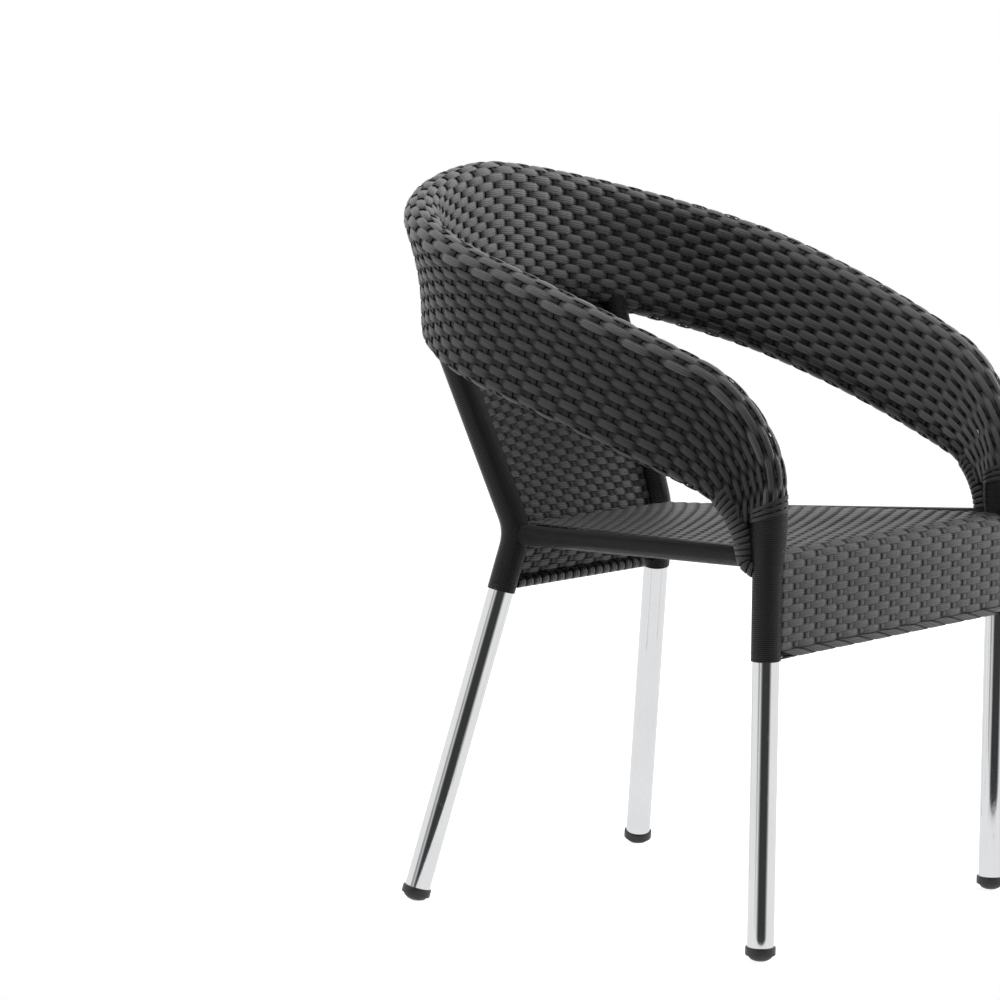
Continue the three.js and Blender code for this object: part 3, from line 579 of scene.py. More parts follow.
# %% The strips' finishes
def strip_finish(name, dark, light, grooves=4, roughness=0.34, gloss=0.3, light_from=-0.15, light_at=0.5):
    """Ribbed plastic strip. It is light where its crest is above light_at, and dark below light_from: a
    painted highlight on the crests and painted shade low in the weave.
    """
    finish = Finish(name)
    across_strip, crest, tint = map(finish.attribute, ("across", "crest", "tint"))
    # The grooves go into the colour too, as painted shade and light along them, besides their bump
    lines = finish.math("COSINE", finish.times(across_strip, grooves * math.pi))
    blotches = finish.noise(14.0, 3.0)
    grain = finish.noise(1400.0, 2.0)
    # Painted shade and highlight: darker where the strip lies low in the weave, lighter on its crest
    painted_crest_shade = finish.spread(crest, light_from, light_at, -0.35, 1.0)
    edge = finish.spread(finish.math("ABSOLUTE", across_strip), 0.8, 0.95)
    tone = finish.total((tint, 0.12), (blotches, 0.18), (grain, 0.1), (lines, 0.16), (painted_crest_shade, 0.55))
    finish.colour(tone, dark, light)
    # The cut edges are duller than the faces
    dullness = finish.total((blotches, 0.1), (grain, 0.08), (edge, 0.4), (painted_crest_shade, -0.06), (roughness, 1.0))
    finish.join("Roughness", dullness)
    finish.bump(finish.total((lines, 0.6), (grain, 0.3)), 0.22, 0.9)
    finish.shader.inputs["Specular IOR Level"].default_value = gloss
    return finish.material


band_strip = strip_finish("charcoal_band_strip", (0.004, 0.004, 0.0045), (0.054, 0.0545, 0.056))
# A lighter copy of the band's strip for the rim's top and the band's inner side, which catch more light:
# painted light
lit_inner_strip = strip_finish("charcoal_inner_strip", (0.012, 0.012, 0.0125), (0.12, 0.1205, 0.123),
                           light_from=-0.8, light_at=0.0)
seat_strip = strip_finish("charcoal_seat_strip", (0.006, 0.006, 0.0065), (0.074, 0.074, 0.076),
                          roughness=0.38, gloss=0.28, light_from=-0.9, light_at=-0.1)
cane_strip = strip_finish("black_cane_strip", (0.001, 0.001, 0.0012), (0.011, 0.011, 0.0115),
                          grooves=3, roughness=0.2)

# %% Weave the band
WEFT_PITCH, WARP_PITCH = 7.55, 24.6
WEFT_STEPS = 6
WARP_WIDTH = 7.6
# The warps' lower Unshaded share paints them darker, as painted shade between the wefts
WARP_SHAPE = {"Thickness": 1.0 * MM, "Lift": 0.4 * MM, "Showing": 0.4, "Starts_Over": 1,
              "Steps_Per_Crossing": 3}
band_wefts = 2 * round(band_girth / WEFT_PITCH / 2)
band_warps = round(band_length / WARP_PITCH)
print("band:", band_wefts, "wefts,", band_warps, "warps")
half_wefts = band_wefts // 2
all_wefts = {"All_Strips": band_wefts, "Crossings": band_warps, "Steps_Per_Crossing": WEFT_STEPS}
band_pieces = [
    # The inner half of the wefts takes the lighter copy of the strip, painted light
    worked_on(band_form, weave_along, "band_wefts_inner", Strips=half_wefts, First_Strip=0,
              Material=lit_inner_strip, Seed=3, **all_wefts),
    worked_on(band_form, weave_along, "band_wefts_outer", Strips=band_wefts - half_wefts,
              First_Strip=half_wefts, Material=band_strip, Seed=4, **all_wefts),
    worked_on(band_form, weave_round, "band_warps", Strips=band_warps, All_Strips=band_warps,
              Crossings=band_wefts, Width_Share=WARP_WIDTH / WARP_PITCH, Closed_Ring=1.0,
              Material=band_strip, Seed=5, **WARP_SHAPE),
]
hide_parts("band_weave")

# %% [markdown]
# ## The rear legs and the back panel
# Each rear leg is one tube: straight from the foot to a knee at the seat, then leaning back and out
# to the band's rod. The back panel is one woven sheet between the two, so its form is open at the
# sides and its rows end at the uprights.

# %% Path of a rear leg
REAR_FOOT = np.array([-217.0, LEG_Y + 462.0, 0.0])
KNEE = np.array([-138.0, LEG_Y + 385.0, 405.0])
KNEE_RADIUS = 60.0
UPRIGHT_SHARE = 0.68
up = np.array([0.0, 0.0, 1.0])
forward = np.array([0, LEG_Y, 0])
UPRIGHT_TOP = arm_station(UPRIGHT_SHARE)[1] + forward


def mirrored(points):
    return [np.array([-p[0], p[1], p[2]]) for p in points]


# Routes and rings are made for the right side and mirrored for the left
ROUTES_BY_SIDE = (("right", list), ("left", mirrored))
RINGS_BY_SIDE = (("right", list), ("left", lambda ring: mirrored(ring)[::-1]))


def bent(start, corner, end, radius, steps=14):
    """Two straight runs joined by one round bend."""
    incoming, outgoing = unit(corner - start), unit(end - corner)
    angle = math.acos(np.clip(incoming.dot(outgoing), -1, 1))
    centre = corner + unit(outgoing - incoming) * radius / math.cos(angle / 2)
    spoke = Vector(corner - incoming * radius * math.tan(angle / 2) - centre)
    axis = Vector(np.cross(incoming, outgoing)).normalized()
    arc = []
    for k in range(steps + 1):
        turned = spoke.copy()
        turned.rotate(Quaternion(axis, angle * k / steps))
        arc.append(centre + np.array(turned))
    return [start] + arc + [end]


def evenly(points, spacing):
    """The same route with points about every spacing millimetres."""
    points = np.array(points, float)
    along = np.concatenate([[0], np.cumsum(np.linalg.norm(np.diff(points, axis=0), axis=1))])
    wanted = np.linspace(0, along[-1], max(int(along[-1] / spacing), 1) + 1)
    return spot_on(points, along, wanted)


def above(route, height):
    """The part of a rising route above a height."""
    route = np.array(route, float)
    return np.concatenate([[spot_on(route, route[:, 2], height)], route[route[:, 2] > height]])


rear_route = bent(REAR_FOOT, KNEE, UPRIGHT_TOP, KNEE_RADIUS)

# %% Rows of the back panel
BACK_RAIL_HEIGHT = 347.0
PANEL_HOLLOW = 12.0
WOUND_RADIUS, PANEL_TUCK = 15.0, 7.0
PANEL_START, PANEL_ROW_PITCH, PANEL_COLUMNS = BACK_RAIL_HEIGHT + 6, 3.0, 80

panel_edge = evenly(above(rear_route, PANEL_START), PANEL_ROW_PITCH)
panel_rise = UPRIGHT_TOP[2] - panel_edge[0][2]


def panel_point(edge, sideways):
    """A point of the panel; sideways is -1 at the right upright and 1 at the left."""
    share = (edge[2] - panel_edge[0][2]) / panel_rise
    rod = arm_station(1 + (UPRIGHT_SHARE - 1) * abs(sideways))[1] + forward
    bow = (rod[1] - UPRIGHT_TOP[1]) * share ** 2 + PANEL_HOLLOW * (1 - sideways ** 2) * (1 - share) * share
    return np.array([-edge[0] * sideways, edge[1] + bow, edge[2] + share ** 2 * (rod[2] - UPRIGHT_TOP[2])])


panel_rows = []
for edge in panel_edge:
    reach = 1 - (WOUND_RADIUS - PANEL_TUCK) / -edge[0]
    panel_rows.append([panel_point(edge, r) for r in np.linspace(-reach, reach, PANEL_COLUMNS)])
panel_form, panel_height, panel_width = make_form("panel_form", panel_rows, closed=False)

# %% [markdown]
# ## The seat and the apron
# One woven sheet runs forward over the seat, rolls over the front rail and hangs down as the
# apron. Its form is open at the sides too.

# %% Rows of the seat and apron
# The front rail lies under the seat's top by its own radius and the depth of the weave
SEAT_TOP, WEAVE_DEPTH, SHEET_HALF = 424.0, 5.3, 1.45
RAIL_RADIUS, ROLL = 9.5, 13.35
SEAT_REAR_TOP, CAD_EDGE = 415.6, 1.0
SEAT_COLUMNS, SEAT_ROWS, ROLL_ROWS, APRON_ROWS = 90, 90, 14, 24
LEG_TUCK, RAIL_GAP = 4.0, 7.0
SIDE_RAIL_END_Y, SIDE_RAIL_DRAWN_IN = 120.6, 99.2

rail_y, rail_z = LEG_Y, SEAT_TOP - WEAVE_DEPTH - RAIL_RADIUS
seat_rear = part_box("seat_weave")[1].y / MM - CAD_EDGE
apron_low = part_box("apron_weave")[0].z / MM - CAD_EDGE
seat_path = list(zip(np.linspace(seat_rear, rail_y, SEAT_ROWS),
                     np.linspace(SEAT_REAR_TOP - SHEET_HALF, rail_z + ROLL, SEAT_ROWS)))
seat_path += [(rail_y - ROLL * math.sin(a), rail_z + ROLL * math.cos(a))
              for a in np.linspace(0, math.pi / 2, ROLL_ROWS)[1:]]
seat_path += [(rail_y - ROLL, z) for z in np.linspace(rail_z, apron_low, APRON_ROWS)[1:]]


def seat_half_width(y):
    """The sheet reaches round the front legs, and behind them out to the side rails."""
    ahead = np.clip(LEG_Y - y, 0, WOUND_RADIUS - 0.5)
    beside_leg = -LEG_X - math.sqrt(WOUND_RADIUS ** 2 - ahead ** 2) + LEG_TUCK
    drawn_in = SIDE_RAIL_DRAWN_IN * max(y - LEG_Y, 0) / (SIDE_RAIL_END_Y - LEG_Y)
    beside_rail = -LEG_X - drawn_in - RAIL_GAP
    return beside_leg if y < LEG_Y else min(beside_leg, beside_rail)


seat_rows = []
for y, z in seat_path:
    reach = seat_half_width(y)
    seat_rows.append([np.array([x, y, z]) for x in np.linspace(reach, -reach, SEAT_COLUMNS)])
seat_form, seat_length, seat_width = make_form("seat_form", seat_rows, closed=False)

# %% Weave seat, apron and back panel
def even(number):
    return 2 * round(number / 2)


SHEET_WEFT_PITCH, SHEET_WARP_PITCH = 7.4, 18.8
SHEET_WEFT_SHARE, SHEET_WEFT_LIFT = 1.2, 0.62
# The panel widens upward, so its warps are counted on a row above the middle
PANEL_WARP_ROW = 1.1


def weave_sheet(form, name, length, width, material, seed):
    """Wefts run across the sheet and warps along it."""
    wefts, warps = even(length / SHEET_WEFT_PITCH), even(width / SHEET_WARP_PITCH)
    crosswise = worked_on(form, weave_round, name + "_wefts", Strips=wefts, All_Strips=wefts,
                          Crossings=warps, Steps_Per_Crossing=WEFT_STEPS, Width_Share=SHEET_WEFT_SHARE,
                          Lift=SHEET_WEFT_LIFT * MM, Material=material, Seed=seed)
    along = worked_on(form, weave_along, name + "_warps", Strips=warps, All_Strips=warps,
                      Crossings=wefts, Width_Share=WARP_WIDTH / SHEET_WARP_PITCH, Material=material,
                      Seed=seed + 1, **WARP_SHAPE)
    return crosswise


seat_wefts = weave_sheet(seat_form, "seat", seat_length, seat_width, seat_strip, 11)
panel_wefts = weave_sheet(panel_form, "panel", panel_height, panel_width * PANEL_WARP_ROW,
                          band_strip, 21)
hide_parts("seat_weave", "apron_weave")
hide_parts("back_weave")

# %% [markdown]
# ## Winding with Geometry Nodes
# The dark parts of the legs and rails are wound with one long fine strip. A second tree draws it:
# s runs along the whole strip, and the spot on the form goes once round for every turn while it
# climbs by one pitch.

# %% The winding tree
def winding_tree(name):
    tree = Tree(name)
    turns = tree.input("Turns", 60)
    steps = tree.input("Steps Per Turn", 18)
    width = tree.input("Width Share", 0.92)
    thickness = tree.input("Thickness", 0.0012)
    margin = tree.input("End Margin", 0.5)
    start_angle = tree.input("Start Angle", 0.0)
    material = tree.input("Material")

    points = tree.plus(tree.times(turns, steps), 1)
    strip = flat_strip(tree, points, WINDING_SIDES)
    s = tree.named("s")
    closing = tree.math("MINIMUM", from_ends(tree, s), 1.0)
    pitch = tree.math("DIVIDE", 1.0, tree.plus(turns, tree.times(margin, 2.0)))
    angle, across, sideways, height = section(tree, pitch, width, thickness, closing)
    strip = tree.store(strip, "across", across)
    # The crest is high on the outer face and low on the edges and inner face, so the outer face is painted
    # lighter and the rest darker: painted highlight and painted shade
    strip = tree.store(strip, "crest", tree.math("SINE", angle))
    climbed = tree.times(tree.plus(tree.times(s, turns), margin), pitch)
    spot_u = tree.plus(climbed, sideways)
    spot_v = tree.math("FRACT", tree.plus(tree.times(s, turns), start_angle))
    finish_strip(tree, strip, spot_u, spot_v, height, material)
    return tree.group


wind = winding_tree("wind_a_strip")

# %% Forms for the windings
def tube_loops(points, radius, sides=40):
    """Rings square to a route, for a form or a smooth tube. The radius may change along it."""
    points = np.array(points, float)
    radii = np.broadcast_to(radius, len(points))
    along = tangents(points)
    side_way = unit(np.cross(along[0], [1, 0, 0] if abs(along[0][0]) < 0.8 else [0, 1, 0]))
    loops = []
    for place, way, radius in zip(points, along, radii):
        side_way = unit(side_way - way * side_way.dot(way))
        other = np.cross(way, side_way)
        angles = np.arange(sides) / sides * math.tau
        loops.append([place + radius * (side_way * math.cos(a) + other * math.sin(a)) for a in angles])
    return loops


CANE_PITCH, CANE_THICKNESS = 2.0, 1.3


def wound(name, loops, replaced=(), pitch=CANE_PITCH, thickness=CANE_THICKNESS,
          steps=18, width=0.92, material=cane_strip, margin=0.5, start=0.0):
    """A new piece: one strip wound over the rings, a pitch apart from turn to turn."""
    form, length, _ = make_form(name + "_form", loops, closed=True)
    turns = max(round(length / pitch - margin * 2), 2)
    piece = worked_on(form, wind, name, Turns=turns, Steps_Per_Turn=steps, Width_Share=width,
                      Thickness=thickness * MM, End_Margin=margin, Start_Angle=start, Material=material)
    bpy.data.objects.remove(form)
    if replaced:
        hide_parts(*replaced)
    return piece

# %% Wind the rear legs and side rails
REAR_WRAP_END = 339.0
SIDE_RAIL_FRONT, SIDE_RAIL_REAR, SIDE_RAIL_COVER, SIDE_RAIL_GAP = 416.0, 401.0, 1.1, 13.0
rear_wound = evenly(above(rear_route, REAR_WRAP_END), 4.0)
rail_front = np.array([LEG_X, LEG_Y, SIDE_RAIL_FRONT])
rail_rear = REAR_FOOT + (KNEE - REAR_FOOT) * (SIDE_RAIL_REAR / KNEE[2])
rail_inset = unit(rail_rear - rail_front) * SIDE_RAIL_GAP
rail_wound = evenly([rail_front + rail_inset, rail_rear - rail_inset], 6.0)
for label, turned in ROUTES_BY_SIDE:
    wound(f"rear_leg_cane_{label}", tube_loops(turned(rear_wound), WOUND_RADIUS), [f"rear_leg_wrap_{label}"])
    wound(f"side_rail_cane_{label}", tube_loops(turned(rail_wound), RAIL_RADIUS + SIDE_RAIL_COVER),
          [f"side_rail_wrap_{label}"], steps=16)

# %% [markdown]
# ## The necks
# Where the band comes down to the front leg, the leg and the rod are wound apart, with a crease
# between them. The leg's winding is fine, and it ends in a few wide turns that slant up to the
# front. The rod's winding is thick and lumpy, and it runs out against the leg.

# %% Route and radius of the front leg's winding
RIM_WOUND_SHARE, ROD_WOUND_SHARE = 0.30, 0.5
COVER, SWELL_END = 1.6, NECK_HEIGHT + 58
WIDE_PITCH, WIDE_LENGTH, WIDE_THICKNESS, TOP_SLANT, SLANT_LENGTH = 5.6, 22.0, 1.7, 0.4, 46.0
FINE_OVERLAP, WIDE_OVERLAP = 7.0, 1.0
NECK_POINTS, NECK_SPACING = 24, 2.0
toward_rod = unit((rods[1] - rims[1]) * [1, 1, 0])

leg_line = [np.array([LEG_X, LEG_Y, z]) for z in (FRONT_WRAP_END, NECK_HEIGHT)]
leg_line += [fan_station(RIM_WOUND_SHARE * share)[0] + forward for share in np.linspace(0, 1, NECK_POINTS)]
leg_line = evenly(leg_line, NECK_SPACING)
leg_swell = smooth_share(leg_line[:, 2], NECK_HEIGHT, SWELL_END)
leg_radii = WOUND_RADIUS + (RIM_RADIUS + COVER - WOUND_RADIUS) * leg_swell
below_top = leg_line[-1][2] - leg_line[:, 2]
slants = TOP_SLANT * smooth_share(-below_top, -SLANT_LENGTH, 0)
leg_loops = []
for centre, ring, slant in zip(leg_line, tube_loops(leg_line, leg_radii), slants):
    leg_loops.append([p - up * slant * (p - centre).dot(toward_rod) for p in ring])
fine_loops = [loop for loop, below in zip(leg_loops, below_top) if below > WIDE_LENGTH - FINE_OVERLAP]
wide_loops = [loop for loop, below in zip(leg_loops, below_top) if below < WIDE_LENGTH + WIDE_OVERLAP]

# %% Route of the rod's winding, and wind the necks
ROD_WRAP_START, ROD_PARTED, LUMP_PITCH, LUMP_THICKNESS = 396.0, 414.0, 6.4, 2.6
ROD_FOOT_RADIUS, ROD_FOOT_POINTS, ROD_FOOT_OFFSET = 9.6, 12, 1.0
ROD_SWELL = (ROD_PARTED - 4, ROD_PARTED + 16)

rod_line = []
for z in np.linspace(ROD_WRAP_START, ROD_PARTED - 1, ROD_FOOT_POINTS):
    parting = smooth_share(z, ROD_WRAP_START, ROD_PARTED)
    out = ROD_FOOT_OFFSET + (ROD_START - ROD_FOOT_OFFSET) * parting
    rod_line.append(np.array([LEG_X, LEG_Y, z]) + toward_rod * out)
rod_line += [fan_station(ROD_WOUND_SHARE * share)[1] + forward for share in np.linspace(0.05, 1, NECK_POINTS)]
rod_line = evenly(rod_line, NECK_SPACING)
rod_swell = smooth_share(rod_line[:, 2], *ROD_SWELL)
rod_loops = tube_loops(rod_line, ROD_FOOT_RADIUS + (ROD_RADIUS + COVER - ROD_FOOT_RADIUS) * rod_swell)
for label, turned in RINGS_BY_SIDE:
    wound(f"front_leg_cane_{label}", list(map(turned, fine_loops)),
          [f"front_leg_wrap_{label}"], steps=28)
    wound(f"neck_cane_{label}", list(map(turned, wide_loops)),
          pitch=WIDE_PITCH, thickness=WIDE_THICKNESS, steps=28, material=band_strip)
    # The rod's lumps take the lighter seat strip as painted light, for the light that falls on them
    wound(f"neck_rod_cane_{label}", list(map(turned, rod_loops)),
          pitch=LUMP_PITCH, thickness=LUMP_THICKNESS, steps=24, material=seat_strip)

# %% Wind the two bottom rails
RAIL_POINTS = 60
APRON_HALF, APRON_ROD_Y, APRON_ROD_Z, APRON_WOUND_RADIUS = 228.0, LEG_Y - 9.5, 317.0, 4.6
BRAID_STARTS, BRAID_LEAD, BRAID_THICKNESS, BRAID_COVERS = 3, 112.0, 1.6, 0.98
BACK_WOUND_RADIUS, BACK_PITCH, BACK_THICKNESS, BACK_COVERS = 6.6, 14.8, 1.8, 0.95


def level_rail(start, end, y, z):
    return [np.array([x, y, z]) for x in np.linspace(start, end, RAIL_POINTS)]


apron_rail = level_rail(-APRON_HALF, APRON_HALF, APRON_ROD_Y, APRON_ROD_Z)
for k in range(BRAID_STARTS):
    wound(f"apron_braid_{k + 1}", tube_loops(apron_rail, APRON_WOUND_RADIUS),
          ["apron_bottom_braid"] if k == 0 else [], BRAID_LEAD, BRAID_THICKNESS, steps=40,
          width=BRAID_COVERS / BRAID_STARTS, material=seat_strip, margin=0.0, start=k / BRAID_STARTS)
back_low, back_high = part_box("back_rail_wrap")
back_middle = (back_low.y + back_high.y) / 2 / MM
back_rail = level_rail(back_low.x / MM, back_high.x / MM, back_middle, BACK_RAIL_HEIGHT)
wound("back_rail_strip", tube_loops(back_rail, BACK_WOUND_RADIUS), ["back_rail_wrap"],
      BACK_PITCH, BACK_THICKNESS, steps=20, width=BACK_COVERS)

# %% [markdown]
# ## Bare tubes and foot caps
# The solids' tubes have twelve flat sides, too few for polished metal. The bare legs are made
# again with many more.

# %% Smooth tubes
def smooth_piece(name, loops, material, replaced, wound_from=None):
    """A closed tube through rings of points. Above wound_from, where it is wound over, it takes a dark
    finish: painted shade.
    """
    rings = np.array(loops, float)
    rows, sides = rings.shape[:2]
    points = (rings.reshape(-1, 3) * MM).tolist()
    faces = []
    for r in range(rows - 1):
        for k in range(sides):
            a, b = r * sides + k, r * sides + (k + 1) % sides
            faces.append((a, b, b + sides, a + sides))
    faces.append(tuple(range(sides))[::-1])
    faces.append(tuple(range((rows - 1) * sides, rows * sides)))
    mesh = bpy.data.meshes.new(name)
    mesh.from_pydata(points, [], faces)
    mesh.polygons.foreach_set("use_smooth", [len(f) == 4 for f in faces])
    mesh.materials.append(material)
    if wound_from:
        mesh.materials.append(painted_shade_tube)
        mesh.polygons.foreach_set("material_index", [int(points[f[0]][2] > wound_from * MM) for f in faces])
    piece = put(name, mesh)
    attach(piece, "root")
    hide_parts(*replaced)
    return piece


def metal_finish(name, dark, light, roughness):
    """Drawn aluminium: faint streaks along the tube, small scuffs and slow haze."""
    finish = Finish(name, metallic=1.0)
    streaks = finish.noise(900.0, 2.0, (1, 1, 0.01))
    haze = finish.noise(22.0, 3.0)
    scuffs = finish.spread(finish.noise(240.0, 4.0, (1, 1, 0.4)), 0.62, 0.7)
    finish.colour(finish.total((streaks, 0.5), (haze, 0.5)), dark, light)
    finish.join("Roughness", finish.total((streaks, 0.04), (haze, 0.04), (scuffs, 0.1), (roughness, 1.0)))
    finish.bump(streaks, 0.01, 0.5)
    return finish.material


polished_tube = metal_finish("polished_tube", (0.66, 0.665, 0.675), (0.8, 0.805, 0.815), 0.05)
# The metal inside the weave and the windings is painted dark, as painted shade, so that no bright metal shows
# through the gaps
painted_shade_tube = metal_finish("dark_inner_tube", (0.02, 0.02, 0.021), (0.045, 0.045, 0.047), 0.42)

LEG_BOTTOM, LEG_TOP = 8.0, 454.0
TUBE_SIDES, TUBE_SPACING = 64, 6.0
rear_lean = unit(KNEE - REAR_FOOT)
front_tube = evenly([[LEG_X, LEG_Y, LEG_BOTTOM], [LEG_X, LEG_Y, LEG_TOP]], TUBE_SPACING)
rear_tube = evenly(bent(REAR_FOOT + rear_lean * LEG_BOTTOM, KNEE, UPRIGHT_TOP, KNEE_RADIUS), TUBE_SPACING)
# The dark part, painted shade, starts a little inside the winding
leg_tubes = (("front", front_tube, FRONT_WRAP_END + 4), ("rear", rear_tube, REAR_WRAP_END + 8))
for label, turned in ROUTES_BY_SIDE:
    for which, path, wound_from in leg_tubes:
        smooth_piece(f"{which}_leg_tube_{label}", tube_loops(turned(path), TUBE_RADIUS, TUBE_SIDES),
                     polished_tube, [f"{which}_leg_{label}"], wound_from)

# %% [markdown]
# ## Foot caps
# Each foot is a moulded black cap: a collar round the tube, a plug inside it and a shallow dome
# below, worn flat where it stands. It is turned from one outline, as on a lathe, and the part
# below the floor is pressed up to it.

# %% Turn the foot caps
CAP_COLLAR_RADIUS, CAP_COLLAR_HEIGHT, CAP_DOME_RADIUS, CAP_DOME_HEIGHT = 15.9, 9.0, 12.9, 6.5
CAP_EDGE, CAP_WORN, CAP_UNDER_TUBE = 1.0, 0.5, 1.8
CAP_SIDES, DOME_STEPS, EDGE_STEPS, DOME_TIP = 64, 14, 6, 0.02

edge_radius = CAP_COLLAR_RADIUS - CAP_EDGE
cap_outline = [(CAP_DOME_RADIUS * math.sin(a), -CAP_DOME_HEIGHT * math.cos(a))
               for a in np.linspace(DOME_TIP, math.pi / 2, DOME_STEPS)]
cap_outline += [(edge_radius, 0.0)]
for height, from_angle in ((CAP_EDGE, -math.pi / 2), (CAP_COLLAR_HEIGHT - CAP_EDGE, 0.0)):
    for a in from_angle + np.linspace(0, math.pi / 2, EDGE_STEPS):
        cap_outline.append((edge_radius + CAP_EDGE * math.cos(a), height + CAP_EDGE * math.sin(a)))
cap_outline += [(TUBE_RADIUS - CAP_UNDER_TUBE, CAP_COLLAR_HEIGHT)]

cap = Finish("black_cap_plastic")
cap_grain, cap_haze = cap.noise(1800.0, 2.0), cap.noise(60.0, 3.0)
height_up = cap.add("ShaderNodeSeparateXYZ", cap.place)[0].node.outputs["Z"]
scuffed = cap.times(cap.spread(height_up, 5 * MM, 0.0), cap.noise(500.0, 3.0))
cap.colour(cap.total((cap_haze, 0.4), (scuffed, 1.2)), (0.006, 0.006, 0.0065), (0.05, 0.049, 0.047))
cap.join("Roughness", cap.total((cap_haze, 0.15), (scuffed, 0.3), (0.3, 1.0)))
cap.bump(cap_grain, 0.05, 0.6)

for which, foot, lean in (("front", np.array([LEG_X, LEG_Y, 0.0]), up), ("rear", REAR_FOOT, rear_lean)):
    side_way = unit(np.cross(lean, [0, 1, 0]))
    other_way = np.cross(lean, side_way)
    centre = foot + lean * (CAP_DOME_HEIGHT - CAP_WORN)
    rings = []
    for radius, rise in cap_outline:
        ring = [centre + lean * rise + radius * (side_way * math.cos(a) + other_way * math.sin(a))
                for a in np.arange(CAP_SIDES) / CAP_SIDES * math.tau]
        rings.append([np.array([p[0], p[1], max(p[2], 0.0)]) for p in ring])
    for label, turned in RINGS_BY_SIDE:
        smooth_piece(f"{which}_foot_{label}", list(map(turned, rings)),
                     cap.material, [f"foot_cap_{which}_{label}"])

# %% The tubes and rods inside the weave keep their solids, with a dull finish painted dark as shade
bare_nodes = ["arm_hoop_tube", "band_lower_rod", "apron_bottom_rail", "back_bottom_rail"]
bare_nodes += [name for name in nodes if name.startswith(("band_rib_", "seat_")) and name != "seat_weave"]
for name in bare_nodes:
    solid = nodes[name]
    solid.data.materials.clear()
    solid.data.materials.append(painted_shade_tube)
print("dull inner tubes:", len(bare_nodes))

# %% [markdown]
# ## Floor, backdrop and light
# The photograph has a plain white ground. The world is white to the camera, at a strength of 1.
# The floor glows a little below that and adds the light that falls on it, so it comes out white
# and keeps the chair's shadow. A studio has white walls round the object and a dark room behind
# the photographer. That dark side draws the dark line down each polished tube, so the world is
# darker from that side, except to the camera.

# %% Floor
FLOOR_REACH, FLOOR_FRONT, FLOOR_GREY, FLOOR_LIFT = 40.0, 0.45, 0.5, 0.84
room_side = Vector((-0.8, -0.6, 0.0))
floor_side = Vector((0.6, -0.8, 0.0))
floor_corners = [room_side * front + floor_side * side
                 for front, side in ((FLOOR_FRONT, -FLOOR_REACH), (FLOOR_FRONT, FLOOR_REACH),
                                     (-FLOOR_REACH, FLOOR_REACH), (-FLOOR_REACH, -FLOOR_REACH))]
floor_mesh = bpy.data.meshes.new("floor")
floor_mesh.from_pydata([tuple(c) for c in floor_corners], [], [(0, 1, 2, 3)])
floor = put("floor", floor_mesh)
floor_material = bpy.data.materials.new("floor_white")
floor_material.use_nodes = True
floor_mesh.materials.append(floor_material)
ground = Nodes(floor_material.node_tree)
ground.group.nodes.clear()


def seen_directly(tree):
    """1 for rays from the camera and for reflections and rays through glass, otherwise 0."""
    path = tree.group.nodes.new("ShaderNodeLightPath").outputs
    either = tree.math("MAXIMUM", path["Is Camera Ray"], path["Is Glossy Ray"])
    return tree.math("MAXIMUM", either, path["Is Transmission Ray"])


camera_sees = ground.add("ShaderNodeLightPath")[0]
lit = ground.add("ShaderNodeBsdfDiffuse", (0.9, 0.9, 0.9, 1))[0]
mirrored_white = ground.add("ShaderNodeEmission", (1, 1, 1, 1), 1.0)[0]
shaded = ground.add("ShaderNodeBsdfDiffuse", (FLOOR_GREY, FLOOR_GREY, FLOOR_GREY, 1))[0]
plain = ground.add("ShaderNodeEmission", (1, 1, 1, 1), FLOOR_LIFT)[0]
shown = ground.add("ShaderNodeAddShader", shaded, plain)[0]
seen = ground.add("ShaderNodeMixShader", camera_sees, mirrored_white, shown)[0]
floor_surface = ground.add("ShaderNodeMixShader", seen_directly(ground), lit, seen)[0]
ground.add("ShaderNodeOutputMaterial", floor_surface)

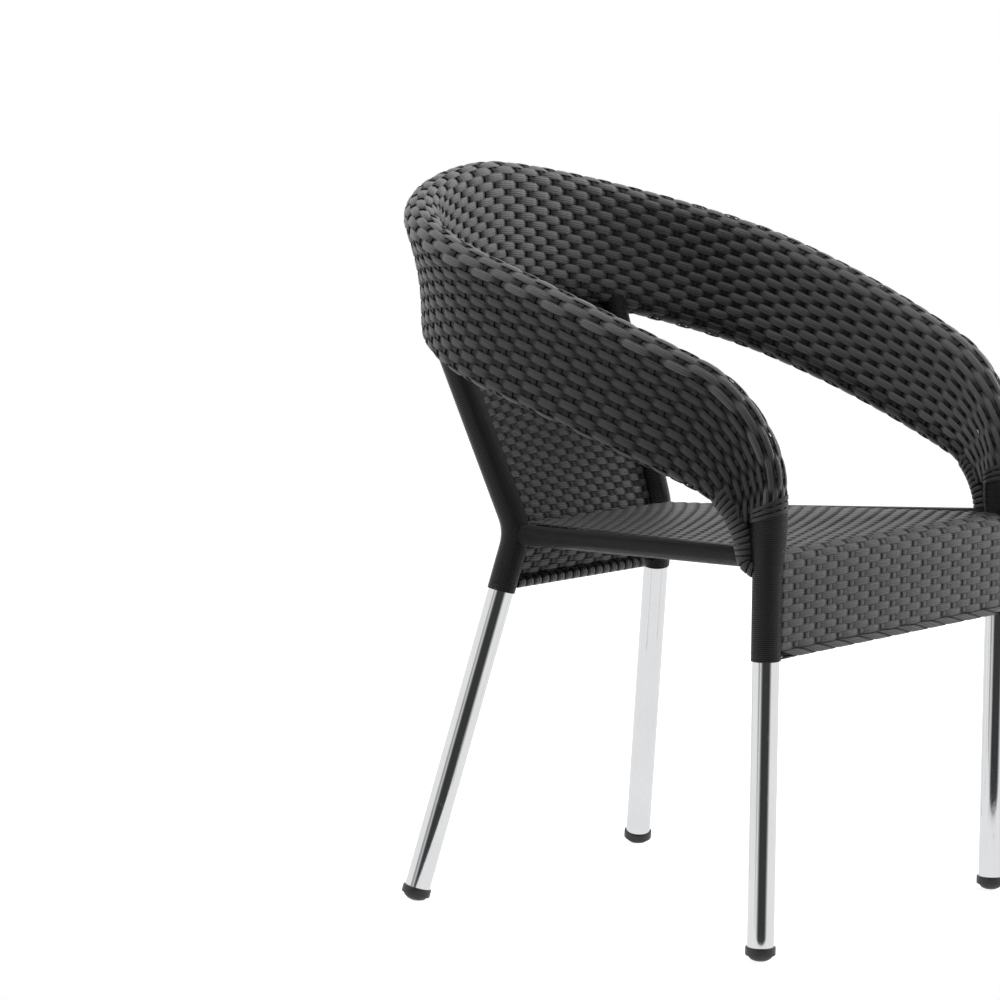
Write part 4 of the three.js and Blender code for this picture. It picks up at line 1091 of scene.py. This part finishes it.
# %% World
DARK_SIDE_LEVEL, ROOM_LEVEL = 0.05, 0.36
DARK_SIDE_INNER, DARK_SIDE_OUTER = 0.9, 0.6
STAND_LEVEL, STAND_INNER, STAND_OUTER = 0.4, 0.99, 0.97
stand_side = Vector((-0.927, 0.375, 0.0))

world = bpy.data.worlds.new("studio")
bpy.context.scene.world = world
world.use_nodes = True
room = Nodes(world.node_tree)
way = room.add("ShaderNodeTexCoord")[0].node.outputs["Generated"]


def darker_toward(side, outer, inner, level):
    """1 all round, falling to a level toward one side of the room."""
    toward = room.add("ShaderNodeVectorMath", way, side, operation="DOT_PRODUCT")[0]
    return room.add("ShaderNodeMapRange", toward, outer, inner, 1.0, level,
                    interpolation_type="SMOOTHSTEP")[0]


# The dark side, and a lamp stand beside it
wall = room.times(darker_toward(room_side, DARK_SIDE_OUTER, DARK_SIDE_INNER, DARK_SIDE_LEVEL),
                 darker_toward(stand_side, STAND_OUTER, STAND_INNER, STAND_LEVEL))
camera_ray = room.add("ShaderNodeLightPath")[0]
reflected = seen_directly(room)
level_seen = room.plus(room.times(reflected, 1 - ROOM_LEVEL), ROOM_LEVEL)
strength = room.math("MAXIMUM", room.times(wall, level_seen), camera_ray)
background = room.group.nodes["Background"].inputs
background["Color"].default_value = (1, 1, 1, 1)
room.group.links.new(strength, background["Strength"])


def soft_lamp(name, place, aim, size, power):
    lamp = bpy.data.lights.new(name, "AREA")
    lamp.shape = "RECTANGLE"
    lamp.size, lamp.size_y = size
    lamp.energy = power
    holder = put(name, lamp)
    holder.location = place
    holder.rotation_mode = "QUATERNION"
    holder.rotation_quaternion = (Vector(place) - Vector(aim)).to_track_quat("Z", "Y")
    holder.visible_glossy = False


soft_lamp("left_softbox", (-2.2, 1.6, 1.1), (0, 0, 0.5), (0.7, 1.6), 36)
soft_lamp("right_softbox", (2.6, -1.2, 1.4), (0, 0, 0.4), (0.9, 1.4), 185)
soft_lamp("top_softbox", (-0.4, 0.3, 3.0), (0, 0, 0.5), (1.6, 1.6), 38)
bpy.context.scene.view_settings.view_transform = "Standard"

# %% Remove the forms and finish
for form in (band_form, seat_form, panel_form):
    bpy.data.objects.remove(form)
